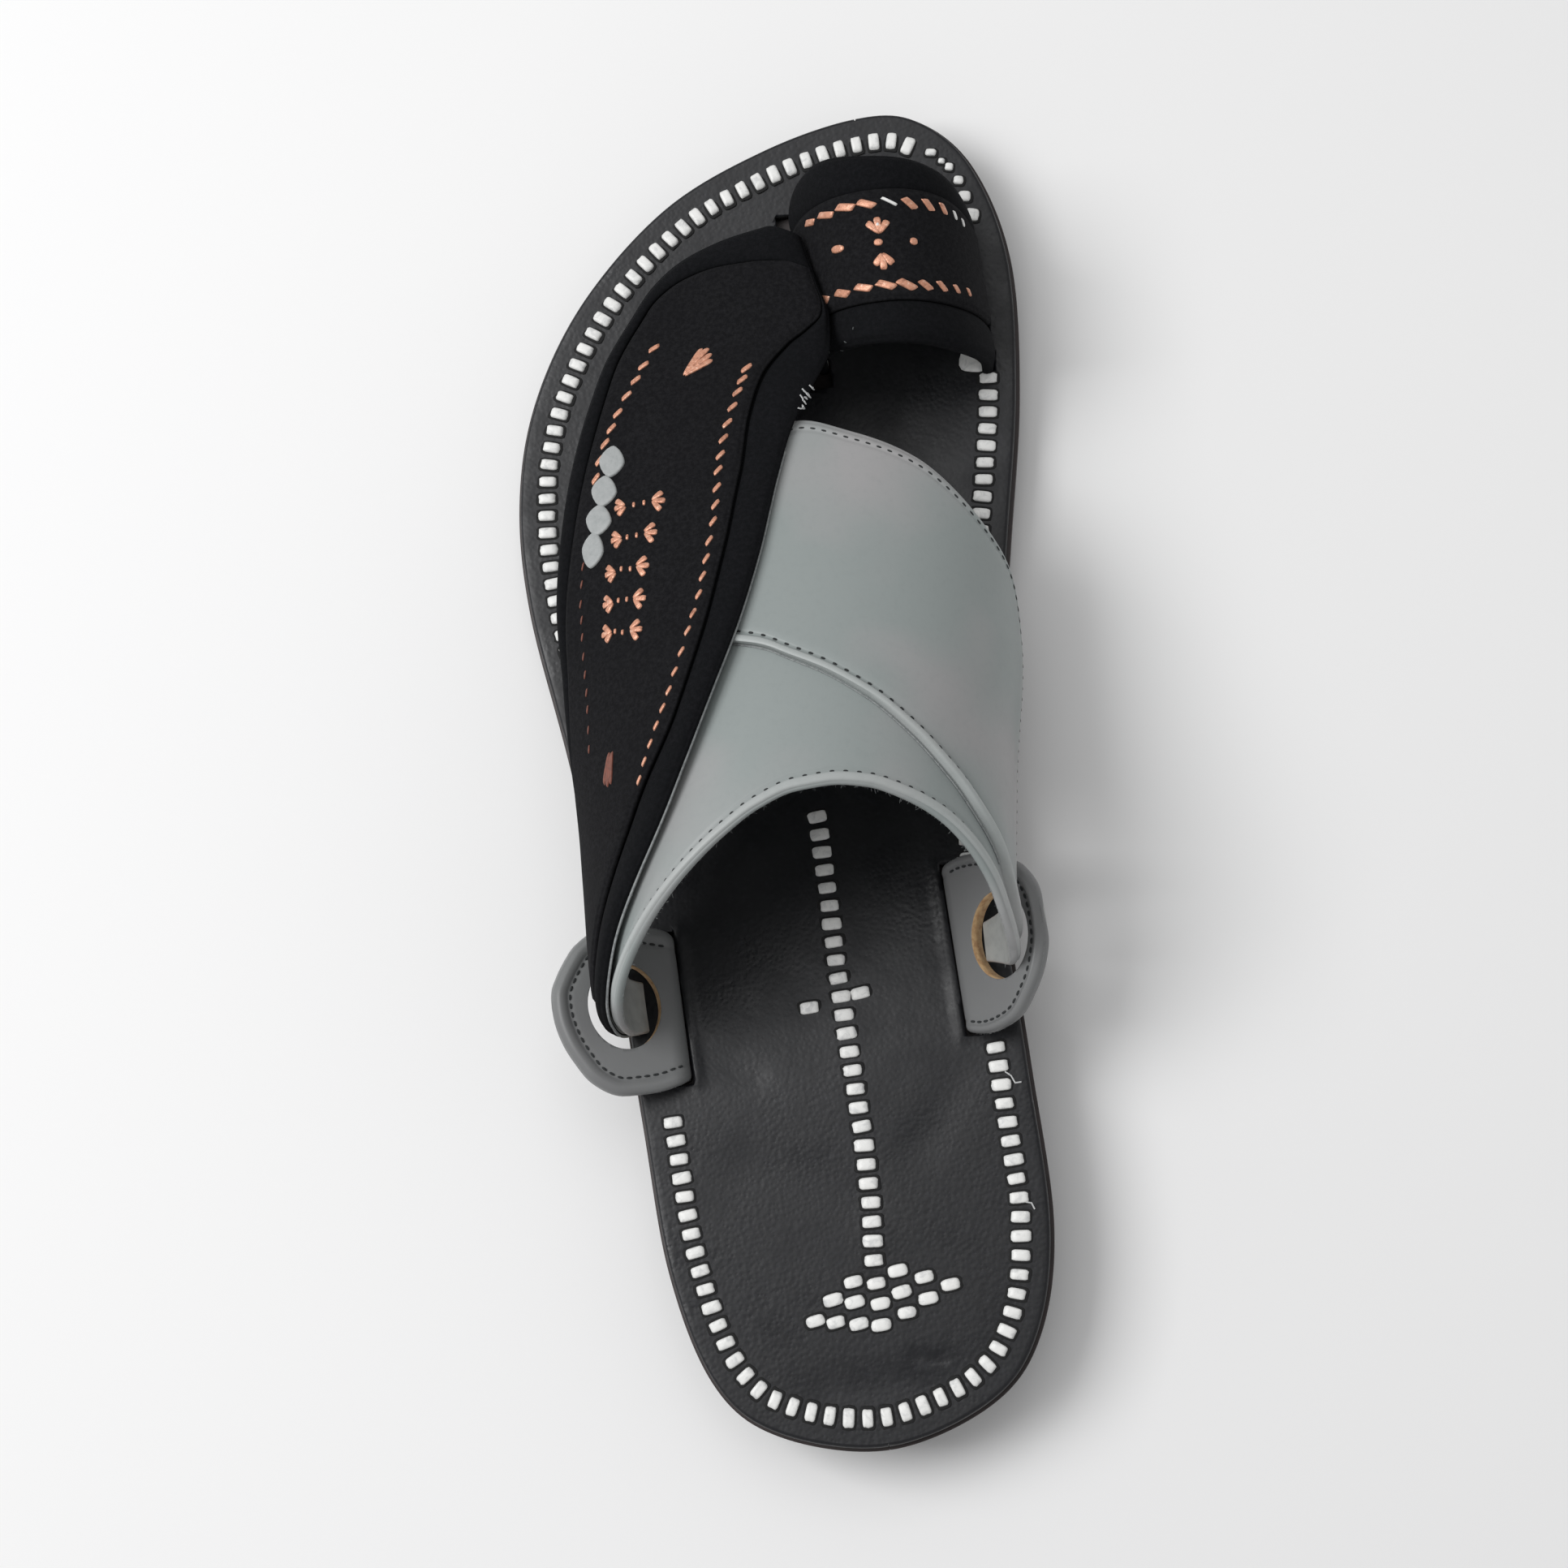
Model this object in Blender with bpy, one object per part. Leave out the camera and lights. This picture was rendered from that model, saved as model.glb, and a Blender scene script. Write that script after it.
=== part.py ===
"""Open leather sandal for the left foot: layered sole, slit insole, grey saddle, leaf strap, toe loop and two ears.

Metres, +Z up, +Y from heel to toe, +X to the big-toe side. The origin is under the middle of the whole sandal.
Stations along the foot are shares of LENGTH, places across it are shares of BALL_WIDTH,
heights of the last are shares of INSTEP above the footbed, and angles run round the last from its
ridge (0) to the lateral side (negative) and the medial side (positive), in degrees.
"""

import math

import bmesh
import bpy
import numpy as np

# Driving sizes
LENGTH = 0.288
BALL_WIDTH = 0.112
INSTEP = 0.065
HEEL_LIFT = 0.010
TOE_SPRING = 0.006

# Sole layers
INSOLE = 0.0025
MIDSOLE = 0.0030
OUTSOLE = 0.0049
GAP = 0.0003
INSOLE_INSET = 0.0008
OUTSOLE_INSET = 0.0005
HEEL_INSET = 0.0012
HEEL_LENGTH = 0.075
BREAST_CURVE = 0.006

# Straps
WALL = 0.0018
LAP = 0.0012
ROLL = 0.0008
LEAF_WALL = 0.0014
LEAF_BORDER = 0.0009
PANEL = 0.0012

# Toe loop
LOOP_X = 0.039
LOOP_HALF = 0.019
LOOP_SPRING = 0.002
LOOP_MIDDLE = 0.86
LOOP_RISE = 0.031
LOOP_WALL = 0.0024
LOOP_ROLL = 0.0007
BAND = 0.0012
BAND_END = 76.0

# Toe end of the leaf strap, beside the toe loop
POST_WALL = 0.0020
POST_FROM = 0.795
POST_TO = 0.880

# Ears
EAR_WALL = 0.0030
EAR_BEND = 0.0032
EAR_FLAP = 0.0235
HOLE_HALF_Y = 0.0092

# Rim of the midsole, from the heel's back along the lateral side, round the toe and back: across, along
RIM = (
    (0.000, 0.000),
    (-0.196, 0.020),
    (-0.304, 0.062),
    (-0.359, 0.146),
    (-0.370, 0.260),
    (-0.384, 0.399),
    (-0.425, 0.538),
    (-0.462, 0.660),
    (-0.451, 0.750),
    (-0.388, 0.826),
    (-0.263, 0.896),
    (-0.074, 0.955),
    (0.137, 0.986),
    (0.330, 0.998),
    (0.451, 0.988),
    (0.545, 0.946),
    (0.589, 0.868),
    (0.562, 0.764),
    (0.496, 0.649),
    (0.420, 0.521),
    (0.375, 0.399),
    (0.370, 0.260),
    (0.363, 0.139),
    (0.304, 0.062),
    (0.196, 0.020),
)
TOE_POINT = 13

# Footbed: station, share of the heel lift, share of the toe spring
FOOTBED = (
    (0.00, 1.00, 0.00),
    (0.24, 0.94, 0.00),
    (0.38, 0.60, 0.00),
    (0.50, 0.20, 0.00),
    (0.60, 0.00, 0.00),
    (0.74, 0.00, 0.00),
    (0.84, 0.00, 0.22),
    (0.92, 0.00, 0.55),
    (1.00, 0.00, 1.00),
)

# Last: station, ridge, lateral side, medial side, height of lateral girth, of medial girth, of ridge, of lower edge
LAST = (
    (0.243, 0.000, -0.340, 0.357, 0.18, 0.34, 1.04, -0.16),
    (0.347, 0.009, -0.353, 0.366, 0.20, 0.34, 1.00, -0.18),
    (0.451, 0.027, -0.344, 0.402, 0.21, 0.27, 0.91, -0.10),
    (0.556, 0.045, -0.362, 0.455, 0.22, 0.22, 0.78, -0.04),
    (0.660, 0.071, -0.384, 0.473, 0.21, 0.21, 0.63, 0.00),
    (0.764, 0.098, -0.388, 0.473, 0.18, 0.18, 0.47, 0.00),
    (0.868, 0.125, -0.348, 0.482, 0.14, 0.14, 0.31, 0.00),
    (0.972, 0.152, -0.295, 0.491, 0.08, 0.08, 0.15, 0.00),
)

# Saddle, a row per rib from the lateral tail to the medial tail: rear edge angle and station, front edge angle and
# station, share of the rib at the lap, share of the lap's thickness
SADDLE = (
    (-112, 0.320, -112, 0.358, 0.90, 0.0),
    (-101, 0.318, -101, 0.361, 0.90, 0.0),
    (-88, 0.322, -89, 0.372, 0.90, 0.0),
    (-76, 0.331, -78, 0.389, 0.90, 0.0),
    (-64, 0.345, -66, 0.413, 0.90, 0.0),
    (-52, 0.363, -54, 0.451, 0.90, 0.0),
    (-40, 0.384, -42, 0.500, 0.88, 0.0),
    (-28, 0.405, -32, 0.556, 0.85, 0.1),
    (-17, 0.423, -22, 0.618, 0.76, 0.8),
    (-7, 0.437, -14, 0.677, 0.53, 1.0),
    (3, 0.445, -4, 0.722, 0.38, 1.0),
    (12, 0.446, 7, 0.733, 0.30, 1.0),
    (22, 0.442, 22, 0.718, 0.24, 1.0),
    (33, 0.431, 40, 0.694, 0.18, 1.0),
    (45, 0.415, 62, 0.646, 0.13, 1.0),
    (57, 0.394, 84, 0.595, 0.10, 1.0),
    (69, 0.370, 93, 0.520, 0.11, 1.0),
    (78, 0.348, 90, 0.440, 0.16, 1.0),
    (88, 0.331, 90, 0.392, 0.25, 0.9),
    (99, 0.322, 99, 0.366, 0.35, 0.6),
    (119, 0.331, 119, 0.361, 0.45, 0.4),
)
# Lap seen across a rib: shares behind the lap and in front of it
SADDLE_BEHIND = (0.0, 0.02, 0.10, 0.16, 0.50, 0.97)
SADDLE_AHEAD = (0.0, 0.015, 0.05, 0.08, 0.30, 0.60, 0.90, 0.985, 1.0)

# Leaf strap, a row per rib from the lateral tail to the toe: inner edge angle and station, outer edge angle and
# station, height of its underside over the last in shares of the saddle's lapped wall, dive of its inner edge
LEAF = (
    (-112, 0.321, -112, 0.357, 0.80, 0.0),
    (-101, 0.319, -102, 0.364, 0.80, 0.0),
    (-87, 0.325, -94, 0.380, 0.80, 0.0),
    (-75, 0.336, -89, 0.404, 0.80, 0.0),
    (-66, 0.352, -84, 0.434, 0.80, 0.0),
    (-57, 0.375, -79, 0.467, 0.80, 0.0),
    (-46, 0.403, -75, 0.501, 0.85, 0.0),
    (-34, 0.441, -70, 0.536, 0.95, 0.0),
    (-24, 0.484, -65, 0.577, 1.12, 0.0),
    (-15, 0.533, -62, 0.621, 1.20, 0.0),
    (-8, 0.580, -58, 0.664, 1.18, 0.0),
    (-3, 0.628, -54, 0.706, 1.10, 0.0),
    (1, 0.681, -49, 0.746, 1.05, 0.0),
    (6, 0.728, -44, 0.781, 1.00, 0.0),
    (11.5, 0.757, -40, 0.810, 1.00, 0.05),
    (17, 0.787, -34, 0.839, 1.00, 0.10),
    (17.5, 0.813, -28, 0.865, 1.00, 0.15),
    (15, 0.839, -20, 0.883, 1.00, 0.15),
    (12.5, 0.863, -9, 0.894, 1.00, 0.15),
    (10.5, 0.884, 0, 0.898, 1.00, 0.15),
)
DIVE = 0.006
TOE_ROW = 12
# Raised border of the leaf strap: share of the border's width and of its height
BORDER = ((0.0, 0.5), (0.3, 1.0), (0.75, 1.0))
# Bed of the leaf strap's panel: row of LEAF, outer share and inner share
BED = (
    (2.6, 0.115, 0.840),
    (7.0, 0.115, 0.832),
    (8.5, 0.115, 0.880),
    (10.5, 0.115, 0.858),
    (12.0, 0.110, 0.840),
    (13.0, 0.100, 0.785),
    (14.2, 0.085, 0.740),
    (14.8, 0.080, 0.775),
    (15.3, 0.080, 0.855),
    (16.0, 0.115, 0.945),
    (16.7, 0.220, 0.965),
    (17.2, 0.420, 0.965),
    (17.6, 0.720, 0.965),
    (18.0, 0.900, 0.965),
)
PANEL_FROM, PANEL_TO = 2.6, 17.55
PANEL_CLEARANCE = 0.014

# Toe loop: angle, stations of the rear edge, front edge, and of the band's rear and front edges
LOOP = (
    (-90, 0.806, 0.930, 0.832, 0.906),
    (-45, 0.791, 0.936, 0.819, 0.902),
    (0, 0.780, 0.925, 0.810, 0.896),
    (45, 0.774, 0.918, 0.806, 0.892),
    (90, 0.781, 0.892, 0.808, 0.876),
)
# Padded borders of the toe loop: share of its width and of the roll's height
LOOP_BORDERS = (
    (0.0, -0.5), (0.03, 1.0), (0.10, 1.0), (0.15, 0.0), (0.50, 0.0),
    (0.84, 0.0), (0.88, 1.0), (0.97, 1.0), (1.0, -0.5),
)
LEG_ANGLE = 80

# Ears: share of the flap, stations of the rear and front edge on the lateral side, and on the medial side
EAR = (
    (0.00, 0.281, 0.392, 0.284, 0.409),
    (0.20, 0.276, 0.398, 0.280, 0.412),
    (0.40, 0.275, 0.401, 0.281, 0.411),
    (0.60, 0.277, 0.400, 0.287, 0.407),
    (0.77, 0.288, 0.391, 0.301, 0.399),
    (0.87, 0.302, 0.380, 0.312, 0.392),
    (0.95, 0.318, 0.368, 0.326, 0.381),
    (1.00, 0.337, 0.356, 0.342, 0.366),
)
# Side, root across in shares of the ball width, tilt of the flap, columns of EAR, and the hole's station,
# its place out along the flap and its half width there
EARS = {
    "ear_lateral": (-1, -0.262, 20.0, (1, 2), 0.341, 0.0086, 0.00775),
    "ear_medial": (1, 0.262, 44.0, (3, 4), 0.347, 0.0119, 0.0083),
}

BLACK_RUBBER = ("black_rubber", (0.010, 0.010, 0.011), 0.60)
BROWN_LEATHER = ("brown_leather", (0.030, 0.016, 0.014), 0.55)
BLACK_LEATHER = ("black_leather", (0.022, 0.023, 0.026), 0.42)
GREY_LEATHER = ("grey_leather", (0.250, 0.290, 0.285), 0.45)
BLACK_SUEDE = ("black_suede", (0.011, 0.011, 0.013), 0.85)
EAR_LEATHER = ("ear_leather", (0.140, 0.142, 0.145), 0.50)


def column(table, index):
    return np.array([row[index] for row in table], float)


def smooth(stations, values, at):
    """Values between the stations on a curve that never overshoots them."""
    step = np.diff(stations)
    rise = np.diff(values) / step
    slope = np.zeros(len(values))
    slope[0], slope[-1] = rise[0], rise[-1]
    for i in range(1, len(values) - 1):
        if rise[i - 1] * rise[i] > 0:
            before, after = 2 * step[i] + step[i - 1], step[i] + 2 * step[i - 1]
            slope[i] = (before + after) / (before / rise[i - 1] + after / rise[i])
    at = np.clip(at, stations[0], stations[-1])
    i = np.clip(np.searchsorted(stations, at, side="right") - 1, 0, len(step) - 1)
    t = (at - stations[i]) / step[i]
    low = values[i] * (2 * t**3 - 3 * t**2 + 1) + slope[i] * step[i] * (t**3 - 2 * t**2 + t)
    high = values[i + 1] * (3 * t**2 - 2 * t**3) + slope[i + 1] * step[i] * (t**3 - t**2)
    return low + high


def by_row(table, index, place):
    """A column of a table read at a place between its rows."""
    return smooth(np.arange(len(table), dtype=float), column(table, index), place)


def footbed(y):
    """Height of the insole's upper face at a place along the foot."""
    share = y / LENGTH
    lift = smooth(column(FOOTBED, 0), column(FOOTBED, 1), share)
    spring = smooth(column(FOOTBED, 0), column(FOOTBED, 2), share)
    return INSOLE + MIDSOLE + OUTSOLE + 2 * GAP + HEEL_LIFT * lift + TOE_SPRING * spring


def on_last(angle, station, lift):
    """A point over the last: the angle round it, the station along it and the distance out from it."""
    read = [smooth(column(LAST, 0), column(LAST, i), station) for i in range(1, 8)]
    ridge, lateral, medial = (BALL_WIDTH * value for value in read[:3])
    low_girth, high_girth, top, low = (INSTEP * value for value in read[3:])
    turn = math.radians(angle)
    half = ridge - lateral if angle < 0 else medial - ridge
    girth = low_girth if angle < 0 else high_girth
    rise = top - girth if abs(angle) <= 90 else girth - low
    across, up = half * math.sin(turn), rise * math.cos(turn)
    out = np.array([math.sin(turn) / half, math.cos(turn) / rise])
    out /= np.linalg.norm(out)
    y = station * LENGTH
    return np.array([ridge + across + lift * out[0], y, footbed(y) + girth + up + lift * out[1]])


def rim_sides(count, inset):
    """Points down the lateral and the medial side of the rim, heel to toe, moved in by the inset."""
    points = np.array([(x * BALL_WIDTH, y * LENGTH) for x, y in RIM])
    ahead = np.roll(points, -1, axis=0)
    slope = (ahead - np.roll(points, 1, axis=0)) / 2
    steps = 16
    t = np.arange(steps)[:, None] / steps
    dense = []
    for i in range(len(points)):
        j = (i + 1) % len(points)
        start = points[i] * (2 * t**3 - 3 * t**2 + 1) + slope[i] * (t**3 - 2 * t**2 + t)
        end = points[j] * (3 * t**2 - 2 * t**3) + slope[j] * (t**3 - t**2)
        dense.append(start + end)
    dense = np.concatenate(dense)
    dense[:, 1] = (dense[:, 1] - dense[:, 1].min()) * LENGTH / np.ptp(dense[:, 1])
    tangent = np.roll(dense, -1, axis=0) - np.roll(dense, 1, axis=0)
    tangent /= np.linalg.norm(tangent, axis=1)[:, None]
    dense = dense + inset * np.stack([tangent[:, 1], -tangent[:, 0]], axis=1)
    toe = TOE_POINT * steps
    sides = []
    for side in (dense[: toe + 1], np.concatenate([dense[toe:], dense[:1]])[::-1]):
        run = np.concatenate([[0], np.cumsum(np.linalg.norm(np.diff(side, axis=0), axis=1))])
        share = (np.arange(count) + 0.5) / count * run[-1]
        sides.append(np.stack([np.interp(share, run, side[:, k]) for k in (0, 1)], axis=1))
    return sides


def sole_rings(count, inset, top, bottom, edge):
    """Cross-sections of a sole layer between two heights, each a function of the place along the foot."""
    lateral, medial = rim_sides(count, inset)
    soft_lateral, soft_medial = rim_sides(count, inset + edge)
    shares = np.linspace(0, 1, 7)
    rings = []
    for a, b, c, d in zip(soft_lateral, soft_medial, lateral, medial):
        flat = [a + (b - a) * share for share in shares]
        low = [c + (d - c) * share for share in shares[::-1]]
        ring = [(x, y, top(y)) for x, y in flat]
        ring.append((d[0], d[1], top(d[1]) - edge))
        ring += [(x, y, bottom(y)) for x, y in low]
        ring.append((c[0], c[1], top(c[1]) - edge))
        rings.append(ring)
    return rings


def skin(name, rings, finish):
    """A closed solid over a row of rings that have as many points each, with flat ends."""
    mesh = bmesh.new()
    rows = [[mesh.verts.new(point) for point in ring] for ring in rings]
    count = len(rows[0])
    for before, after in zip(rows, rows[1:]):
        for i in range(count):
            j = (i + 1) % count
            mesh.faces.new((before[i], before[j], after[j], after[i]))
    mesh.faces.new(rows[0][::-1])
    mesh.faces.new(rows[-1])
    bmesh.ops.recalc_face_normals(mesh, faces=mesh.faces)
    data = bpy.data.meshes.new(name)
    mesh.to_mesh(data)
    mesh.free()
    data.shade_smooth()
    data.set_sharp_from_angle(angle=math.radians(40))
    piece = bpy.data.objects.new(name, data)
    bpy.context.scene.collection.objects.link(piece)
    if finish:
        data.materials.append(material(*finish))
    return piece


def material(name, colour, roughness):
    found = bpy.data.materials.get(name)
    if found:
        return found
    made = bpy.data.materials.new(name)
    made.use_nodes = True
    shader = made.node_tree.nodes["Principled BSDF"]
    shader.inputs["Base Color"].default_value = (*colour, 1.0)
    shader.inputs["Roughness"].default_value = roughness
    return made


def helper(piece):
    piece.hide_render = True
    piece.display_type = "WIRE"
    return piece


def boolean(piece, other, operation):
    change = piece.modifiers.new(f"{operation.lower()} {other.name}", "BOOLEAN")
    change.operation = operation
    change.solver = "EXACT"
    change.object = helper(other)


def slot_cutter(name, low, high):
    """A box that cuts a slit right through the insole, following the footbed."""
    rings = []
    for y in np.linspace(low[1], high[1], 5):
        under, over = footbed(y) - 3 * INSOLE, footbed(y) + 2 * INSOLE
        rings.append([(low[0], y, under), (high[0], y, under), (high[0], y, over), (low[0], y, over)])
    return skin(name, rings, None)


def make_sole():
    sheet = INSOLE + GAP
    insole = skin(
        "insole",
        sole_rings(34, INSOLE_INSET, footbed, lambda y: footbed(y) - INSOLE, 0.3 * INSOLE),
        BLACK_LEATHER,
    )
    midsole = skin(
        "midsole",
        sole_rings(34, 0.0, lambda y: footbed(y) - sheet, lambda y: footbed(y) - sheet - MIDSOLE, 0.1 * MIDSOLE),
        BROWN_LEATHER,
    )
    tread = sheet + MIDSOLE + GAP
    outsole = skin(
        "outsole",
        sole_rings(34, OUTSOLE_INSET, lambda y: footbed(y) - tread, lambda y: footbed(y) - tread - OUTSOLE,
                   0.1 * OUTSOLE),
        BLACK_RUBBER,
    )
    return [insole, midsole, outsole, make_heel(tread + OUTSOLE + GAP)]


def make_heel(under):
    """The heel lift: the rim's own outline back from the breast, flat on the floor."""
    lateral, medial = rim_sides(120, HEEL_INSET)
    shares = np.linspace(-1, 1, 9)
    rings = []
    for a, b in zip(lateral, medial):
        if max(a[1], b[1]) > HEEL_LENGTH:
            break
        rings.append([a + (b - a) * (share + 1) / 2 for share in shares])
    breast = [np.array([p[0], HEEL_LENGTH - BREAST_CURVE * (1 - share**2)]) for p, share in zip(rings[-1], shares)]
    keep = [ring for ring in rings if max(p[1] for p in ring) < HEEL_LENGTH - 1.3 * BREAST_CURVE]
    keep = keep[::2] + [breast]
    solid = []
    for ring in keep:
        top = [(x, y, footbed(y) - under) for x, y in ring]
        solid.append(top + [(x, y, 0.0) for x, y in ring[::-1]])
    return skin("heel", solid, BLACK_RUBBER)


def saddle_point(row, share, lift):
    rear_angle, rear, front_angle, front = (by_row(SADDLE, i, row) for i in range(4))
    return on_last(rear_angle + (front_angle - rear_angle) * share, rear + (front - rear) * share, lift)


def make_saddle():
    rings = []
    for row in np.linspace(0, len(SADDLE) - 1, 47):
        lap_at, lap = by_row(SADDLE, 4, row), by_row(SADDLE, 5, row)
        shares = [lap_at * s for s in SADDLE_BEHIND] + [lap_at + (1 - lap_at) * s for s in SADDLE_AHEAD]
        body = WALL + LAP * lap
        rolled = body + ROLL * lap
        over = [0.5 * WALL, WALL + ROLL, WALL + ROLL, WALL, WALL, WALL]
        over += [WALL + 0.3 * LAP * lap, rolled, rolled, body, body, body, body, body, body - 0.4 * WALL]
        outer = [saddle_point(row, s, lift) for s, lift in zip(shares, over)]
        inner = [saddle_point(row, s, 0.0) for s in shares]
        rings.append(outer + inner[::-1])
    return skin("upper", rings, GREY_LEATHER)


def leaf_point(row, share, lift):
    """A point of the leaf strap: share 0 is its outer edge and 1 its inner edge."""
    inner_angle, inner, outer_angle, outer = (by_row(LEAF, i, row) for i in range(4))
    under = by_row(LEAF, 4, row) * (WALL + LAP) + GAP + ROLL * 0.2
    angle = outer_angle + (inner_angle - outer_angle) * share
    point = on_last(angle, outer + (inner - outer) * share, under + lift)
    point[2] -= DIVE * by_row(LEAF, 5, row) * max(0.0, (share - 0.5) / 0.5) ** 2
    return point


def bed_edges(row):
    """Shares of the outer and the inner edge of the panel's bed at a row of the leaf strap."""
    return (smooth(column(BED, 0), column(BED, i), row) for i in (1, 2))


def make_leaf():
    rings = []
    edge = LEAF_WALL + LEAF_BORDER
    for row in np.linspace(0, len(LEAF) - 1, 40):
        out, into = bed_edges(row)
        shares = [share * out for share, _ in BORDER]
        shares += np.linspace(out, into, 4).tolist()
        shares += [1 - share * (1 - into) for share, _ in BORDER[::-1]]
        over = [edge * high for _, high in BORDER] + [LEAF_WALL] * 4 + [edge * high for _, high in BORDER[::-1]]
        outer = [leaf_point(row, s, lift) for s, lift in zip(shares, over)]
        inner = [leaf_point(row, s, 0.0) for s in shares]
        rings.append(outer + inner[::-1])
    leaf = skin("leaf_strap", rings, BLACK_SUEDE)
    boolean(leaf, make_post(), "UNION")
    return leaf


def post_x():
    """Medial face of the leaf strap's toe end, against the toe loop's lateral leg."""
    return LOOP_X - LOOP_HALF - BAND - 2 * GAP


def leaf_height(x, y):
    """Height inside the leaf strap's toe end over a place on the insole."""
    near = []
    for row in np.linspace(TOE_ROW, len(LEAF) - 1, 36):
        for share in np.linspace(0.5, 1.0, 16):
            point = leaf_point(row, share, 0.6 * LEAF_WALL)
            near.append((math.hypot(point[0] - x, point[1] - y), point[2]))
    return min(near)[1]


def make_post():
    """The fold of the leaf strap that goes down into the toe slit."""
    rings = []
    left, right = post_x() - POST_WALL, post_x()
    for station in np.linspace(POST_FROM, POST_TO, 7):
        y = station * LENGTH
        low = footbed(y) - INSOLE
        over_left, over_right = leaf_height(left, y), leaf_height(right, y)
        rings.append([(left, y, low), (right, y, low), (right, y, over_right), (left, y, over_left)])
    return skin("leaf_post", rings, None)


def make_panel():
    rings = []
    base = LEAF_WALL + GAP
    for row in np.linspace(PANEL_FROM, PANEL_TO, 28):
        out, into = bed_edges(row)
        shares = np.linspace(out + PANEL_CLEARANCE, into - PANEL_CLEARANCE, 8)
        outer = [leaf_point(row, s, base + PANEL) for s in shares]
        inner = [leaf_point(row, s, base) for s in shares]
        rings.append(outer + inner[::-1])
    return skin("leaf_panel", rings, BLACK_SUEDE)


def loop_point(angle, y, lift):
    """A point on the toe loop: past 90 degrees the legs run straight down."""
    turn = math.radians(max(-90.0, min(90.0, angle)))
    out = np.array([math.sin(turn) / LOOP_HALF, math.cos(turn) / LOOP_RISE])
    out /= np.linalg.norm(out)
    x = LOOP_X + LOOP_HALF * math.sin(turn) + lift * out[0]
    foot = footbed(LOOP_MIDDLE * LENGTH) + LOOP_SPRING
    z = foot + LOOP_RISE * math.cos(turn) + lift * out[1]
    if abs(angle) > 90:
        z += (abs(angle) - 90) / 10 * (footbed(y) - INSOLE - foot)
    return np.array([x, y, z])


def make_loop():
    rings = []
    shares, over = column(LOOP_BORDERS, 0), column(LOOP_BORDERS, 1)
    for angle in [-100, *np.linspace(-90, 90, 25), 100]:
        rear, front = (LENGTH * smooth(column(LOOP, 0), column(LOOP, i), angle) for i in (1, 2))
        leg = 1.0 if abs(angle) < LEG_ANGLE else 0.0
        outer = [loop_point(angle, rear + (front - rear) * s, LOOP_ROLL * leg * up) for s, up in zip(shares, over)]
        inner = [loop_point(angle, rear + (front - rear) * s, -LOOP_WALL) for s in shares]
        rings.append(outer + inner[::-1])
    return skin("toe_loop", rings, BLACK_SUEDE)


def make_band():
    rings = []
    for angle in np.linspace(-BAND_END, BAND_END, 23):
        rear, front = (LENGTH * smooth(column(LOOP, 0), column(LOOP, i), angle) for i in (3, 4))
        shares = np.linspace(0, 1, 6)
        outer = [loop_point(angle, rear + (front - rear) * s, GAP + BAND) for s in shares]
        inner = [loop_point(angle, rear + (front - rear) * s, GAP) for s in shares]
        rings.append(outer + inner[::-1])
    return skin("toe_band", rings, BLACK_SUEDE)


def ear_frame(side, tilt, run):
    """Place of the ear's middle face and its upward normal, across the foot, by the run up from its root."""
    turn = math.radians(90 - tilt)
    arc = EAR_BEND * turn
    if run < 0:
        return (0.0, run), (-side, 0.0)
    if run < arc:
        bend = run / EAR_BEND
        return (side * EAR_BEND * (1 - math.cos(bend)), EAR_BEND * math.sin(bend)), (
            -side * math.cos(bend), math.sin(bend))
    out, up = math.cos(math.radians(tilt)), math.sin(math.radians(tilt))
    x = EAR_BEND * (1 - math.cos(turn)) + (run - arc) * out
    z = EAR_BEND * math.sin(turn) + (run - arc) * up
    return (side * x, z), (-side * up, out)


def make_ear(name):
    side, root_x, tilt, columns = EARS[name][:4]
    arc = EAR_BEND * math.radians(90 - tilt)
    length = arc + EAR_FLAP
    runs = [-INSOLE - GAP, 0.0, *np.linspace(0, arc, 5)[1:], *(arc + EAR_FLAP * np.linspace(0, 1, 12)[1:])]
    rings = []
    for run in runs:
        share = max(0.0, run) / length
        rear, front = (LENGTH * smooth(column(EAR, 0), column(EAR, i), share) for i in columns)
        (x, z), (nx, nz) = ear_frame(side, tilt, run)
        ring = []
        for sign, shares in ((1, np.linspace(0, 1, 7)), (-1, np.linspace(1, 0, 7))):
            for s in shares:
                y = rear + (front - rear) * s
                reach = sign * EAR_WALL / 2
                base = footbed(y) + GAP
                ring.append((root_x * BALL_WIDTH + side * EAR_WALL / 2 + x + nx * reach, y, base + z + nz * reach))
        rings.append(ring)
    ear = skin(name, rings, EAR_LEATHER)
    boolean(ear, hole_cutter(name), "DIFFERENCE")
    return ear


def hole_cutter(name):
    """An oval plug through the flap, square to it."""
    side, root_x, tilt, _, hole_y, hole_out, half_out = EARS[name]
    arc = EAR_BEND * math.radians(90 - tilt)
    (x, z), (nx, nz) = ear_frame(side, tilt, arc + hole_out)
    out = (side * math.cos(math.radians(tilt)), math.sin(math.radians(tilt)))
    y = hole_y * LENGTH
    rings = []
    for reach in (-3 * EAR_WALL, 3 * EAR_WALL):
        ring = []
        for turn in np.linspace(0, 2 * math.pi, 28, endpoint=False):
            along, across = HOLE_HALF_Y * math.sin(turn), half_out * math.cos(turn)
            cx = root_x * BALL_WIDTH + side * EAR_WALL / 2 + x + nx * reach + out[0] * across
            cz = footbed(y) + GAP + z + nz * reach + out[1] * across
            ring.append((cx, y + along, cz))
        rings.append(ring)
    return skin(name + "_hole", rings, None)


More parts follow.
